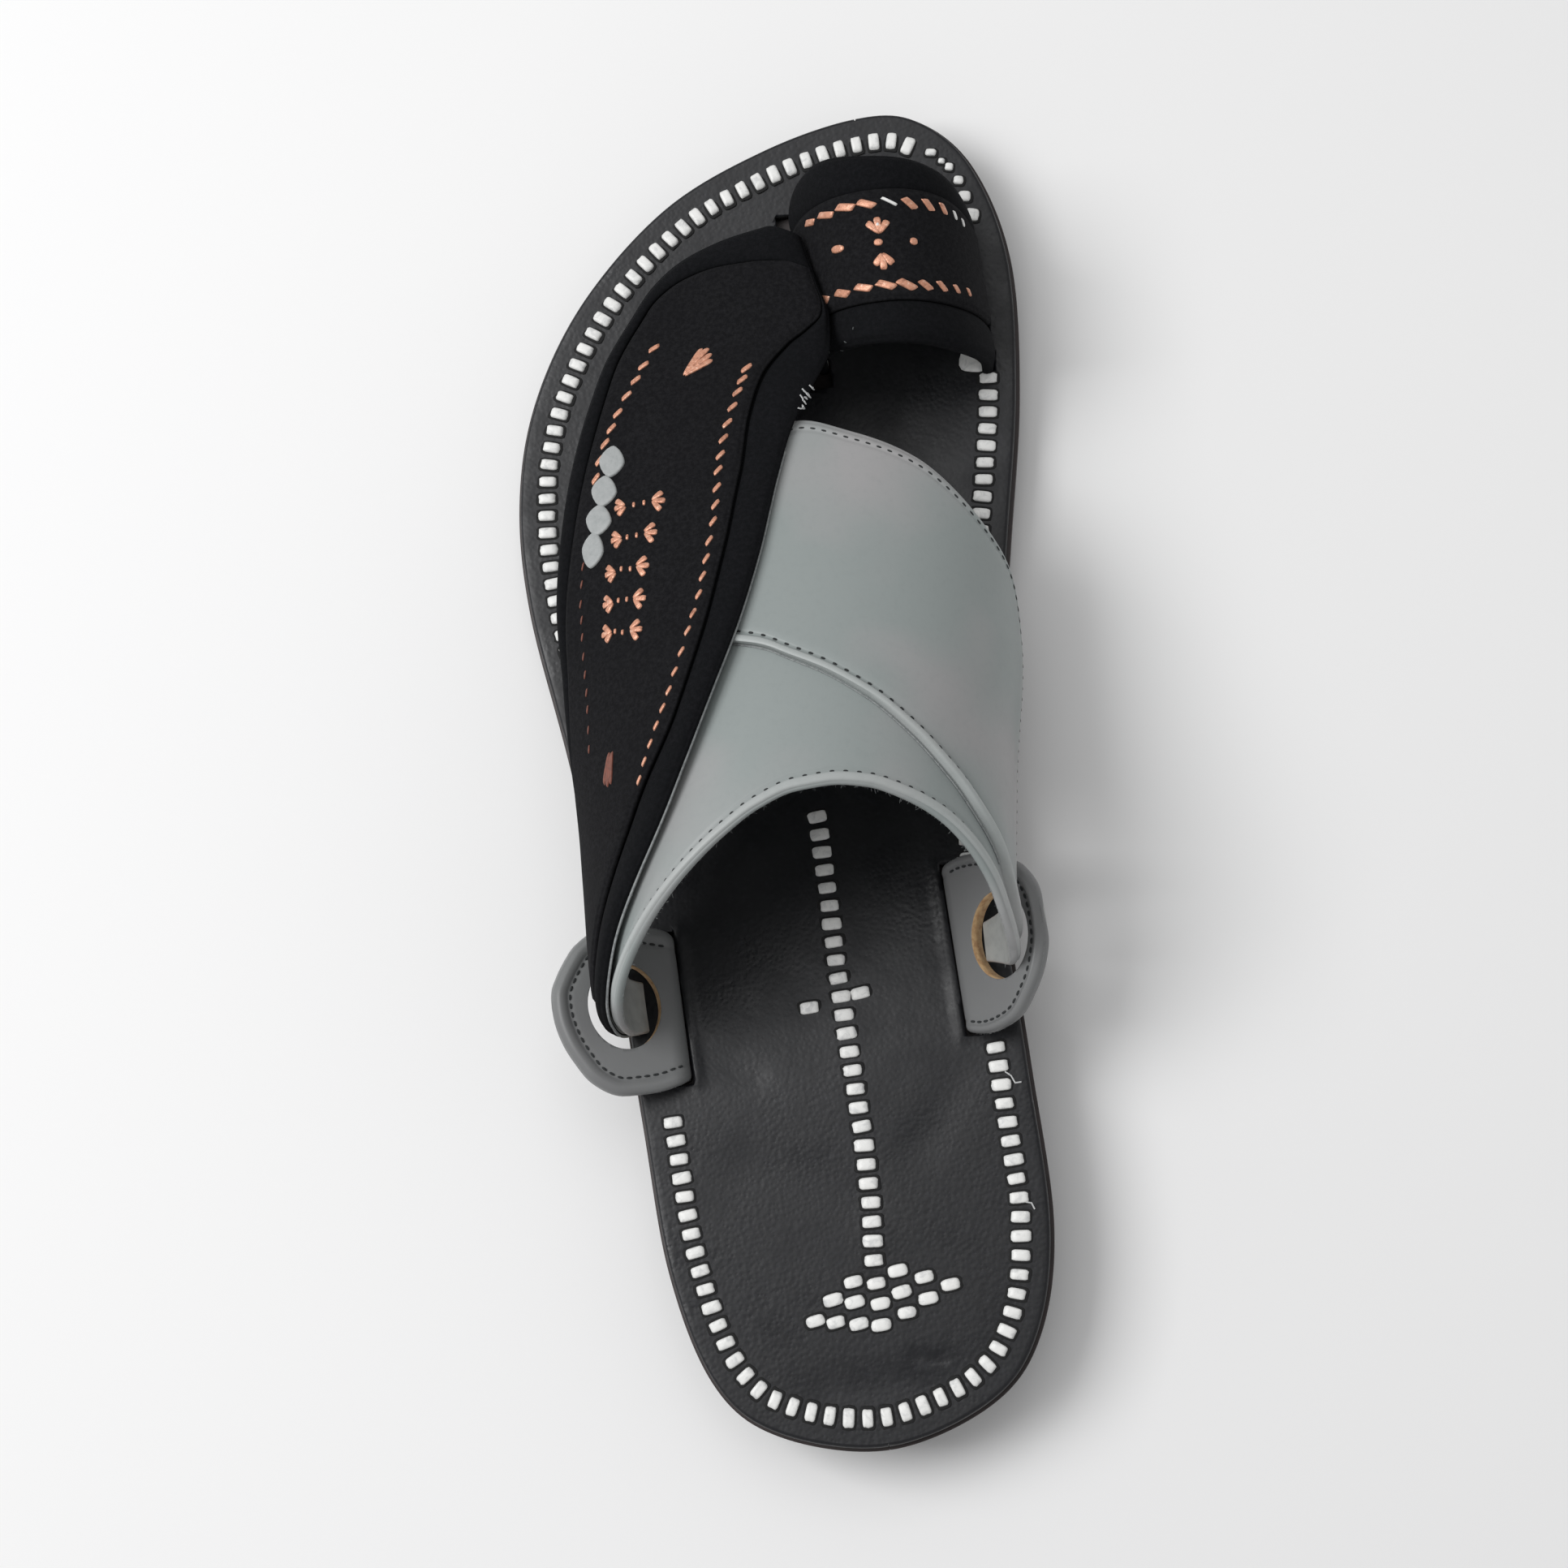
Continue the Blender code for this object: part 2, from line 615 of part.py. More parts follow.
def cut_slits(insole):
    """The insole's slits clear what goes down through them."""
    for side, root_x, _, columns, *_ in EARS.values():
        edge = root_x * BALL_WIDTH
        far = edge + side * EAR_WALL
        rear, front = (LENGTH * EAR[0][i] for i in columns)
        low = (min(edge, far) - GAP, rear - 2 * GAP)
        high = (max(edge, far) + GAP, front + 2 * GAP)
        boolean(insole, slot_cutter(f"ear_slit_{side}", low, high), "DIFFERENCE")
    rear, front = LENGTH * LOOP[0][1], LENGTH * LOOP[0][2]
    start = min(rear, LENGTH * POST_FROM)
    low = (post_x() - POST_WALL - GAP, start - 2 * GAP)
    high = (LOOP_X - LOOP_HALF + LOOP_WALL + GAP, front + 2 * GAP)
    boolean(insole, slot_cutter("toe_slit", low, high), "DIFFERENCE")
    rear, front = LENGTH * LOOP[-1][1], LENGTH * LOOP[-1][2]
    low = (LOOP_X + LOOP_HALF - LOOP_WALL - GAP, rear - 2 * GAP)
    high = (LOOP_X + LOOP_HALF + GAP, front + 2 * GAP)
    boolean(insole, slot_cutter("medial_slit", low, high), "DIFFERENCE")


def centre_on_origin(pieces):
    """Moves the sandal so that the origin lies under the middle of its box."""
    view = bpy.context.evaluated_depsgraph_get()
    corners = []
    for piece in pieces:
        data = piece.evaluated_get(view).to_mesh()
        places = np.empty(len(data.vertices) * 3, np.float32)
        data.vertices.foreach_get("co", places)
        corners += [places.reshape(-1, 3).min(axis=0), places.reshape(-1, 3).max(axis=0)]
    low, high = np.min(corners, axis=0), np.max(corners, axis=0)
    frame = bpy.data.objects.new("sandal", None)
    bpy.context.scene.collection.objects.link(frame)
    for piece in list(bpy.data.objects):
        if piece is not frame:
            piece.parent = frame
    frame.location = (-(low[0] + high[0]) / 2, -(low[1] + high[1]) / 2, -low[2])


def main():
    for old in list(bpy.data.objects):
        bpy.data.objects.remove(old, do_unlink=True)
    pieces = make_sole()
    cut_slits(pieces[0])
    pieces += [make_saddle(), make_leaf(), make_panel(), make_loop(), make_band()]
    pieces += [make_ear(name) for name in EARS]
    centre_on_origin(pieces)


main()
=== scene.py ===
"""Looks of the open leather sandal: fine leather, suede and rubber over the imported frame, rolled edges,
white and copper lacing, stitches, raw edges and loose threads, on a pale floor under soft light.

Metres, +Z up, +Y from heel to toe, +X to the big-toe side. Shapes are worked out from the heel's back on
the middle line of the sole, as the part's own are, and shifted onto the frame. Decorations are placed by the
photo's pixels, each on the strap that carries it.
"""

import functools
import math
import random

import bmesh
import bpy
import numpy as np
from mathutils import Matrix, Vector
from mathutils.bvhtree import BVHTree


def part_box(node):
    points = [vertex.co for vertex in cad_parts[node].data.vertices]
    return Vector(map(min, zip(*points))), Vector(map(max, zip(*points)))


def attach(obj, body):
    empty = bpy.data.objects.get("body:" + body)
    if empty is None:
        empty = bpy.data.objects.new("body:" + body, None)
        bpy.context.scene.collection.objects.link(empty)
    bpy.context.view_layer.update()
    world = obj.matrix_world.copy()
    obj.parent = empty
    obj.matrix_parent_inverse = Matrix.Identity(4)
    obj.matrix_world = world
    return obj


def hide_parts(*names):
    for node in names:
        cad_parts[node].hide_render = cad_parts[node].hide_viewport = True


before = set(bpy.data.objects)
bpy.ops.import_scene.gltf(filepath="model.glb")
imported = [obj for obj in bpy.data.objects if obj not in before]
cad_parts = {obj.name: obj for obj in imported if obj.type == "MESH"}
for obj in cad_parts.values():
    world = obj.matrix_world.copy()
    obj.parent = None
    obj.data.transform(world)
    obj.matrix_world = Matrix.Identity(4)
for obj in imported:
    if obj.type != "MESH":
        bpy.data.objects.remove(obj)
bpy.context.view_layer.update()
MM = 0.001

# Driving sizes, as in the part
LENGTH = 0.288
BALL_WIDTH = 0.112
INSTEP = 0.065
HEEL_LIFT = 0.010
TOE_SPRING = 0.006
INSOLE = 0.0025
MIDSOLE = 0.0030
OUTSOLE = 0.0049
GAP = 0.0003
INSOLE_INSET = 0.0008
OUTSOLE_INSET = 0.0005
HEEL_INSET = 0.0012
HEEL_LENGTH = 0.075
BREAST_CURVE = 0.006
WALL = 0.0018
LAP = 0.0012
ROLL = 0.0008
LEAF_WALL = 0.0014
LEAF_BORDER = 0.0009
PANEL = 0.0012
LOOP_X = 0.039
LOOP_HALF = 0.019
LOOP_SPRING = 0.002
LOOP_RISE = 0.031
LOOP_MIDDLE = 0.86
LOOP_WALL = 0.0024
BAND = 0.0012
BAND_END = 76.0
POST_WALL = 0.0020
POST_FROM = 0.795
POST_TO = 0.880
EAR_WALL = 0.0030
EAR_BEND = 0.0032
EAR_FLAP = 0.0235
HOLE_HALF_Y = 0.0092

# Rim of the midsole: across, along
RIM = (
    (0.000, 0.000),
    (-0.196, 0.020),
    (-0.304, 0.062),
    (-0.359, 0.146),
    (-0.370, 0.260),
    (-0.384, 0.399),
    (-0.425, 0.538),
    (-0.462, 0.660),
    (-0.451, 0.750),
    (-0.388, 0.826),
    (-0.263, 0.896),
    (-0.074, 0.955),
    (0.137, 0.986),
    (0.330, 0.998),
    (0.451, 0.988),
    (0.545, 0.946),
    (0.589, 0.868),
    (0.562, 0.764),
    (0.496, 0.649),
    (0.420, 0.521),
    (0.375, 0.399),
    (0.370, 0.260),
    (0.363, 0.139),
    (0.304, 0.062),
    (0.196, 0.020),
)
TOE_POINT = 13

# Footbed: station, share of the heel lift, share of the toe spring
FOOTBED = (
    (0.00, 1.00, 0.00),
    (0.24, 0.94, 0.00),
    (0.38, 0.60, 0.00),
    (0.50, 0.20, 0.00),
    (0.60, 0.00, 0.00),
    (0.74, 0.00, 0.00),
    (0.84, 0.00, 0.22),
    (0.92, 0.00, 0.55),
    (1.00, 0.00, 1.00),
)

# Last: station, ridge, lateral side, medial side, then the heights of the lateral girth, of the medial girth,
# of the ridge and of the lower edge
LAST = (
    (0.243, 0.000, -0.340, 0.357, 0.18, 0.34, 1.04, -0.16),
    (0.347, 0.009, -0.353, 0.366, 0.20, 0.34, 1.00, -0.18),
    (0.451, 0.027, -0.344, 0.402, 0.21, 0.27, 0.91, -0.10),
    (0.556, 0.045, -0.362, 0.455, 0.22, 0.22, 0.78, -0.04),
    (0.660, 0.071, -0.384, 0.473, 0.21, 0.21, 0.63, 0.00),
    (0.764, 0.098, -0.388, 0.473, 0.18, 0.18, 0.47, 0.00),
    (0.868, 0.125, -0.348, 0.482, 0.14, 0.14, 0.31, 0.00),
    (0.972, 0.152, -0.295, 0.491, 0.08, 0.08, 0.15, 0.00),
)

# Saddle, a row per rib from the lateral tail to the medial tail: rear edge angle and station, front edge
# angle and station, share of the rib at the lap, share of the lap's thickness
SADDLE = (
    (-112, 0.320, -112, 0.358, 0.90, 0.0),
    (-101, 0.318, -101, 0.361, 0.90, 0.0),
    (-88, 0.322, -89, 0.372, 0.90, 0.0),
    (-76, 0.331, -78, 0.389, 0.90, 0.0),
    (-64, 0.345, -66, 0.413, 0.90, 0.0),
    (-52, 0.363, -54, 0.451, 0.90, 0.0),
    (-40, 0.384, -42, 0.500, 0.88, 0.0),
    (-28, 0.405, -32, 0.556, 0.85, 0.1),
    (-17, 0.423, -22, 0.618, 0.76, 0.8),
    (-7, 0.437, -14, 0.677, 0.53, 1.0),
    (3, 0.445, -4, 0.722, 0.38, 1.0),
    (12, 0.446, 7, 0.733, 0.30, 1.0),
    (22, 0.442, 22, 0.718, 0.24, 1.0),
    (33, 0.431, 40, 0.694, 0.18, 1.0),
    (45, 0.415, 62, 0.646, 0.13, 1.0),
    (57, 0.394, 84, 0.595, 0.10, 1.0),
    (69, 0.370, 93, 0.520, 0.11, 1.0),
    (78, 0.348, 90, 0.440, 0.16, 1.0),
    (88, 0.331, 90, 0.392, 0.25, 0.9),
    (99, 0.322, 99, 0.366, 0.35, 0.6),
    (119, 0.331, 119, 0.361, 0.45, 0.4),
)

# Leaf strap, a row per rib from the lateral tail to the toe: inner edge angle and station, outer edge angle
# and station, height of its underside over the last in shares of the saddle's lapped wall, dive of its inner
# edge
LEAF = (
    (-112, 0.321, -112, 0.357, 0.80, 0.0),
    (-101, 0.319, -102, 0.364, 0.80, 0.0),
    (-87, 0.325, -94, 0.380, 0.80, 0.0),
    (-75, 0.336, -89, 0.404, 0.80, 0.0),
    (-66, 0.352, -84, 0.434, 0.80, 0.0),
    (-57, 0.375, -79, 0.467, 0.80, 0.0),
    (-46, 0.403, -75, 0.501, 0.85, 0.0),
    (-34, 0.441, -70, 0.536, 0.95, 0.0),
    (-24, 0.484, -65, 0.577, 1.12, 0.0),
    (-15, 0.533, -62, 0.621, 1.20, 0.0),
    (-8, 0.580, -58, 0.664, 1.18, 0.0),
    (-3, 0.628, -54, 0.706, 1.10, 0.0),
    (1, 0.681, -49, 0.746, 1.05, 0.0),
    (6, 0.728, -44, 0.781, 1.00, 0.0),
    (11.5, 0.757, -40, 0.810, 1.00, 0.05),
    (17, 0.787, -34, 0.839, 1.00, 0.10),
    (17.5, 0.813, -28, 0.865, 1.00, 0.15),
    (15, 0.839, -20, 0.883, 1.00, 0.15),
    (12.5, 0.863, -9, 0.894, 1.00, 0.15),
    (10.5, 0.884, 0, 0.898, 1.00, 0.15),
)
DIVE = 0.006
TOE_ROW = 12

# Bed of the leaf strap's panel: row of LEAF, outer share and inner share
BED = (
    (2.6, 0.115, 0.840),
    (7.0, 0.115, 0.832),
    (8.5, 0.115, 0.880),
    (10.5, 0.115, 0.858),
    (12.0, 0.110, 0.840),
    (13.0, 0.100, 0.785),
    (14.2, 0.085, 0.740),
    (14.8, 0.080, 0.775),
    (15.3, 0.080, 0.855),
    (16.0, 0.115, 0.945),
    (16.7, 0.220, 0.965),
    (17.2, 0.420, 0.965),
    (17.6, 0.720, 0.965),
    (18.0, 0.900, 0.965),
)
PANEL_FROM, PANEL_TO = 2.6, 17.55

# Toe loop: angle, stations of the rear edge, front edge, and of the band's rear and front edges
LOOP = (
    (-90, 0.806, 0.930, 0.832, 0.906),
    (-45, 0.791, 0.936, 0.819, 0.902),
    (0, 0.780, 0.925, 0.810, 0.896),
    (45, 0.774, 0.918, 0.806, 0.892),
    (90, 0.781, 0.892, 0.808, 0.876),
)

# Ears: share of the flap, stations of the rear and front edge on the lateral side, and on the medial side
EAR = (
    (0.00, 0.281, 0.392, 0.284, 0.409),
    (0.20, 0.276, 0.398, 0.280, 0.412),
    (0.40, 0.275, 0.401, 0.281, 0.411),
    (0.60, 0.277, 0.400, 0.287, 0.407),
    (0.77, 0.288, 0.391, 0.301, 0.399),
    (0.87, 0.302, 0.380, 0.312, 0.392),
    (0.95, 0.318, 0.368, 0.326, 0.381),
    (1.00, 0.337, 0.356, 0.342, 0.366),
)
# Side, root across in shares of the ball width, tilt of the flap, columns of EAR, and the hole's station,
# its place out along the flap and its half width there
EARS = {
    "ear_lateral": (-1, -0.262, 20.0, (1, 2), 0.341, 0.0086, 0.00775),
    "ear_medial": (1, 0.262, 44.0, (3, 4), 0.347, 0.0119, 0.0083),
}

# The photo: camera place from the heel's back, focal length and middle in pixels, tilt and turn in degrees
CAMERA_PLACE = (0.04428, 0.02325, 0.639)
PHOTO_FOCAL = 2900.0
PHOTO_MIDDLE = 966.0
PHOTO_TILT = 10.0
PHOTO_TURN = 9.578
SHOE_MIDDLE = (671.0, 971.0)
LENS = 68.0


def column(table, index):
    return np.array([row[index] for row in table], float)


def smooth(stations, values, at):
    """Values between the stations on a curve that never overshoots them."""
    step = np.diff(stations)
    rise = np.diff(values) / step
    slope = np.zeros(len(values))
    slope[0], slope[-1] = rise[0], rise[-1]
    for i in range(1, len(values) - 1):
        if rise[i - 1] * rise[i] > 0:
            before, after = 2 * step[i] + step[i - 1], step[i] + 2 * step[i - 1]
            slope[i] = (before + after) / (before / rise[i - 1] + after / rise[i])
    at = np.clip(at, stations[0], stations[-1])
    i = np.clip(np.searchsorted(stations, at, side="right") - 1, 0, len(step) - 1)
    t = (at - stations[i]) / step[i]
    low = values[i] * (2 * t**3 - 3 * t**2 + 1) + slope[i] * step[i] * (t**3 - 2 * t**2 + t)
    high = values[i + 1] * (3 * t**2 - 2 * t**3) + slope[i + 1] * step[i] * (t**3 - t**2)
    return low + high


def by_row(table, index, place):
    """A column of a table read at a place between its rows."""
    return smooth(np.arange(len(table), dtype=float), column(table, index), place)


def footbed(y):
    """Height of the insole's upper face at a place along the foot."""
    share = y / LENGTH
    lift = smooth(column(FOOTBED, 0), column(FOOTBED, 1), share)
    spring = smooth(column(FOOTBED, 0), column(FOOTBED, 2), share)
    return INSOLE + MIDSOLE + OUTSOLE + 2 * GAP + HEEL_LIFT * lift + TOE_SPRING * spring


def on_last(angle, station, lift):
    """Points over the last: the angle round it, the station along it and the distance out from it."""
    angle, station, lift = np.broadcast_arrays(np.asarray(angle, float), station, lift)
    read = [smooth(column(LAST, 0), column(LAST, i), station) for i in range(1, 8)]
    ridge, lateral, medial = (BALL_WIDTH * value for value in read[:3])
    low_girth, high_girth, top, low = (INSTEP * value for value in read[3:])
    turn = np.radians(angle)
    half = np.where(angle < 0, ridge - lateral, medial - ridge)
    girth = np.where(angle < 0, low_girth, high_girth)
    rise = np.where(np.abs(angle) <= 90, top - girth, girth - low)
    out = np.stack([np.sin(turn) / half, np.cos(turn) / rise], axis=-1)
    out /= np.linalg.norm(out, axis=-1, keepdims=True)
    y = station * LENGTH
    x = ridge + half * np.sin(turn) + lift * out[..., 0]
    z = footbed(y) + girth + rise * np.cos(turn) + lift * out[..., 1]
    return np.stack([x, y, z], axis=-1)


def saddle_place(row, share, lift):
    rear_angle, rear, front_angle, front = (by_row(SADDLE, i, row) for i in range(4))
    return on_last(rear_angle + (front_angle - rear_angle) * share, rear + (front - rear) * share, lift)


def leaf_place(row, share, lift):
    """A point of the leaf strap: share 0 is its outer edge and 1 its inner edge."""
    inner_angle, inner, outer_angle, outer = (by_row(LEAF, i, row) for i in range(4))
    under = by_row(LEAF, 4, row) * (WALL + LAP) + GAP + ROLL * 0.2
    angle = outer_angle + (inner_angle - outer_angle) * share
    point = on_last(angle, outer + (inner - outer) * share, under + lift)
    point[..., 2] -= DIVE * by_row(LEAF, 5, row) * np.maximum(0.0, (share - 0.5) / 0.5) ** 2
    return point


def bed_edges(row):
    """Shares of the outer and the inner edge of the panel's bed at a row of the leaf strap."""
    return [smooth(column(BED, 0), column(BED, i), row) for i in (1, 2)]


def loop_surface(angle, station, lift):
    """A point on the toe loop: past 90 degrees the legs run straight down."""
    turn = np.radians(np.clip(angle, -90.0, 90.0))
    out = np.array([math.sin(turn) / LOOP_HALF, math.cos(turn) / LOOP_RISE])
    out /= np.linalg.norm(out)
    y = station * LENGTH
    x = LOOP_X + LOOP_HALF * math.sin(turn) + lift * out[0] + 0 * y
    foot = footbed(LOOP_MIDDLE * LENGTH) + LOOP_SPRING
    past = max(abs(angle) - 90, 0) / 10
    z = foot + LOOP_RISE * math.cos(turn) + lift * out[1] + past * (footbed(y) - INSOLE - foot)
    return np.stack(np.broadcast_arrays(x, y, z), axis=-1)


def loop_place(angle, share, lift):
    rear, front = (smooth(column(LOOP, 0), column(LOOP, i), angle) for i in (1, 2))
    return loop_surface(angle, rear + (front - rear) * share, lift)


def band_place(angle, share, lift):
    rear, front = (smooth(column(LOOP, 0), column(LOOP, i), angle) for i in (3, 4))
    return loop_surface(angle, rear + (front - rear) * share, lift)


def rounded(points, steps=70):
    """A smooth open line through points."""
    ends = [2 * points[0] - points[1], *points, 2 * points[-1] - points[-2]]
    t = np.arange(steps)[:, None] / steps
    line = []
    for before, start, end, after in zip(ends, ends[1:], ends[2:], ends[3:]):
        line.append(start + (end - before) * t / 2 + (2 * before - 5 * start + 4 * end - after) * t**2 / 2
                    + (3 * start - before - 3 * end + after) * t**3 / 2)
    return np.concatenate([*line, points[-1:]])


@functools.cache
def ear_outline(ear):
    """The ear's free edge from its rear to its front root: runs up from the root, places along the foot."""
    _, _, tilt, columns = EARS[ear][:4]
    length = EAR_BEND * math.radians(90 - tilt) + EAR_FLAP
    table = np.array(EAR)
    rear, front = (np.column_stack([table[:, 0] * length, table[:, i] * LENGTH]) for i in columns)
    return rounded(np.concatenate([rear, front[::-1]]))


def ear_sides(ear, run):
    """Places along the foot of the ear's rear and front edge at a run up from the root."""
    outline = ear_outline(ear)
    tip = outline[:, 0].argmax()
    rear, front = outline[: tip + 1], outline[tip:][::-1]
    return [np.interp(max(0.0, run), side[:, 0], side[:, 1]) for side in (rear, front)]


def ear_place(ear, run, share, lift):
    """A point of an ear: the run up from its root, the share from its rear to its front edge, and the lift
    over its lower face."""
    side, root, tilt = EARS[ear][:3]
    rear, front = ear_sides(ear, run)
    (x, z), (nx, nz) = ear_frame(side, tilt, run)
    y = rear + (front - rear) * share
    reach = lift - EAR_WALL / 2
    across = root * BALL_WIDTH + side * EAR_WALL / 2 + x + nx * reach
    return np.stack(np.broadcast_arrays(across, y, footbed(y) + GAP + z + nz * reach), axis=-1)


def ear_frame(side, tilt, run):
    """Place of the ear's middle face and its upward normal, in the plane across the foot, by the run up from
    its root."""
    turn = math.radians(90 - tilt)
    arc = EAR_BEND * turn
    if run < 0:
        return (0.0, run), (-side, 0.0)
    if run < arc:
        bend = run / EAR_BEND
        return (side * EAR_BEND * (1 - math.cos(bend)), EAR_BEND * math.sin(bend)), (
            -side * math.cos(bend), math.sin(bend))
    out, up = math.cos(math.radians(tilt)), math.sin(math.radians(tilt))
    x = EAR_BEND * (1 - math.cos(turn)) + (run - arc) * out
    z = EAR_BEND * math.sin(turn) + (run - arc) * up
    return (side * x, z), (-side * up, out)


def rim_sides(count, inset, ends=0.5):
    """Points down the lateral and the medial side of the rim, heel to toe, moved in by the inset."""
    points = np.array([(x * BALL_WIDTH, y * LENGTH) for x, y in RIM])
    ahead = np.roll(points, -1, axis=0)
    slope = (ahead - np.roll(points, 1, axis=0)) / 2
    steps = 16
    t = np.arange(steps)[:, None] / steps
    dense = []
    for i in range(len(points)):
        j = (i + 1) % len(points)
        start = points[i] * (2 * t**3 - 3 * t**2 + 1) + slope[i] * (t**3 - 2 * t**2 + t)
        end = points[j] * (3 * t**2 - 2 * t**3) + slope[j] * (t**3 - t**2)
        dense.append(start + end)
    dense = np.concatenate(dense)
    dense[:, 1] = (dense[:, 1] - dense[:, 1].min()) * LENGTH / np.ptp(dense[:, 1])
    tangent = np.roll(dense, -1, axis=0) - np.roll(dense, 1, axis=0)
    tangent /= np.linalg.norm(tangent, axis=1)[:, None]
    dense = dense + inset * np.stack([tangent[:, 1], -tangent[:, 0]], axis=1)
    toe = TOE_POINT * steps
    sides = []
    for side in (dense[: toe + 1], np.concatenate([dense[toe:], dense[:1]])[::-1]):
        run = np.concatenate([[0], np.cumsum(np.linalg.norm(np.diff(side, axis=0), axis=1))])
        share = (np.arange(count) + ends) / (count - 1 + 2 * ends) * run[-1]
        sides.append(np.stack([np.interp(share, run, side[:, k]) for k in (0, 1)], axis=1))
    return sides


def frame_shift():
    """From the heel's back to the frame's origin, read off the midsole's box."""
    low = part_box("midsole")[0]
    rim = np.concatenate(rim_sides(34, 0.0))
    return np.array([low[0] - rim[:, 0].min(), low[1] - rim[:, 1].min(), 0.0])


SHIFT = frame_shift()


# Meshes

def show(name, points, faces, finishes, picks=None, sharp=50):
    """A piece from points measured from the heel's back; picks gives each face its finish."""
    data = bpy.data.meshes.new(name)
    data.from_pydata((np.asarray(points) + SHIFT).tolist(), [], [list(map(int, f)) for f in faces])
    mesh = bmesh.new()
    mesh.from_mesh(data)
    bmesh.ops.recalc_face_normals(mesh, faces=mesh.faces)
    mesh.to_mesh(data)
    mesh.free()
    for finish in finishes:
        data.materials.append(finish)
    if picks is not None:
        data.polygons.foreach_set("material_index", np.asarray(picks, np.int32))
    data.shade_smooth()
    data.set_sharp_from_angle(angle=math.radians(sharp))
    piece = bpy.data.objects.new(name, data)
    bpy.context.scene.collection.objects.link(piece)
    return piece


def loft_faces(rows, count):
    """Faces between rows of closed rings, then the two end caps."""
    first = np.arange(rows - 1)[:, None] * count
    here = first + np.arange(count)
    beside = first + (np.arange(count) + 1) % count
    sides = np.stack([here, beside, beside + count, here + count], axis=-1).reshape(-1, 4)
    caps = [list(range(count))[::-1], list(range((rows - 1) * count, rows * count))]
    return [*sides.tolist(), *caps]


def loft(name, rings, finishes, parts=None, sharp=50):
    """A closed skin over rings of as many points; parts names the finish of each step round each ring."""
    rings = np.asarray(rings)
    rows, count = rings.shape[:2]
    picks = None
    if parts is not None:
        picks = [*parts[:-1].ravel(), parts[0, 0], parts[0, 0]]
    return show(name, rings.reshape(-1, 3), loft_faces(rows, count), finishes, picks, sharp)


def spread(stops, counts):
    """Rising places with as many steps as asked between each two stops."""
    stops = np.maximum.accumulate(np.asarray(stops, float))
    runs = [np.linspace(a, b, n, endpoint=False) for a, b, n in zip(stops, stops[1:], counts)]
    places = np.concatenate([*runs, stops[-1:]])
    return places + np.arange(len(places)) * 1e-7


def rib(place, row):
    """How far along a strap's rib each share of it lies."""
    shares = np.linspace(0, 1, 61)
    points = place(row, shares, np.full(61, 0.001))
    run = np.concatenate([[0], np.cumsum(np.linalg.norm(np.diff(points, axis=0), axis=1))])
    return shares, run


def strap(name, place, rows, plan, finishes, edge=0.45 * MM, back=14, edge_part=0, sharp=50, outer=None):
    """A closed strap. plan(row, run) gives the places across its outer face, the lifts there and the inner
    face's lift; outer(row) gives the finish of each step across the outer face."""
    turns = np.radians([65, 40, 15, -15, -40, -65])
    rings = []
    for row in rows:
        shares, run = rib(place, row)
        at, lift, base = plan(row, run[-1], lambda share: np.interp(share, shares, run))
        round_end = min(edge, 0.2 * run[-1])
        at = round_end + at * (run[-1] - 2 * round_end) / run[-1]
        ends = []
        for far, top in ((1, lift[-1]), (-1, lift[0])):
            middle, half = (top + base) / 2, (top - base) / 2
            start = at[-1] if far > 0 else at[0]
            ends.append((start + far * round_end * np.cos(turns), middle + half * np.sin(turns)))
        under = np.linspace(at[-1], at[0], back)
        where = np.concatenate([at, ends[0][0], under, ends[1][0][::-1]])
        lifts = np.concatenate([lift, ends[0][1], np.full(back, base), ends[1][1][::-1]])
        rings.append(place(row, np.interp(where, run, shares), lifts))
    steps = len(turns) + 1
    rest = [edge_part] * steps + [1] * (back - 1) + [edge_part] * steps
    parts = [[*(outer(row) if outer else [0] * (len(at) - 1)), *rest] for row in rows]
    return loft(name, rings, finishes, np.array(parts), sharp)


def bead(x, width):
    """A half-round bead between 0 and its width."""
    u = np.clip((x - width / 2) / (width / 2), -1, 1)
    return np.sqrt(np.maximum(0, 1 - u**2))


def dip(x, width):
    return np.exp(-((x / width) ** 2))


def step_up(x, width):
    t = np.clip(x / width, 0, 1)
    return t * t * (3 - 2 * t)


# Finishes

def linear(colour):
    """Linear light from the 0 to 255 values of a screen colour."""
    values = np.array(colour, float) / 255
    return tuple(np.where(values <= 0.04045, values / 12.92, ((values + 0.055) / 1.055) ** 2.4))


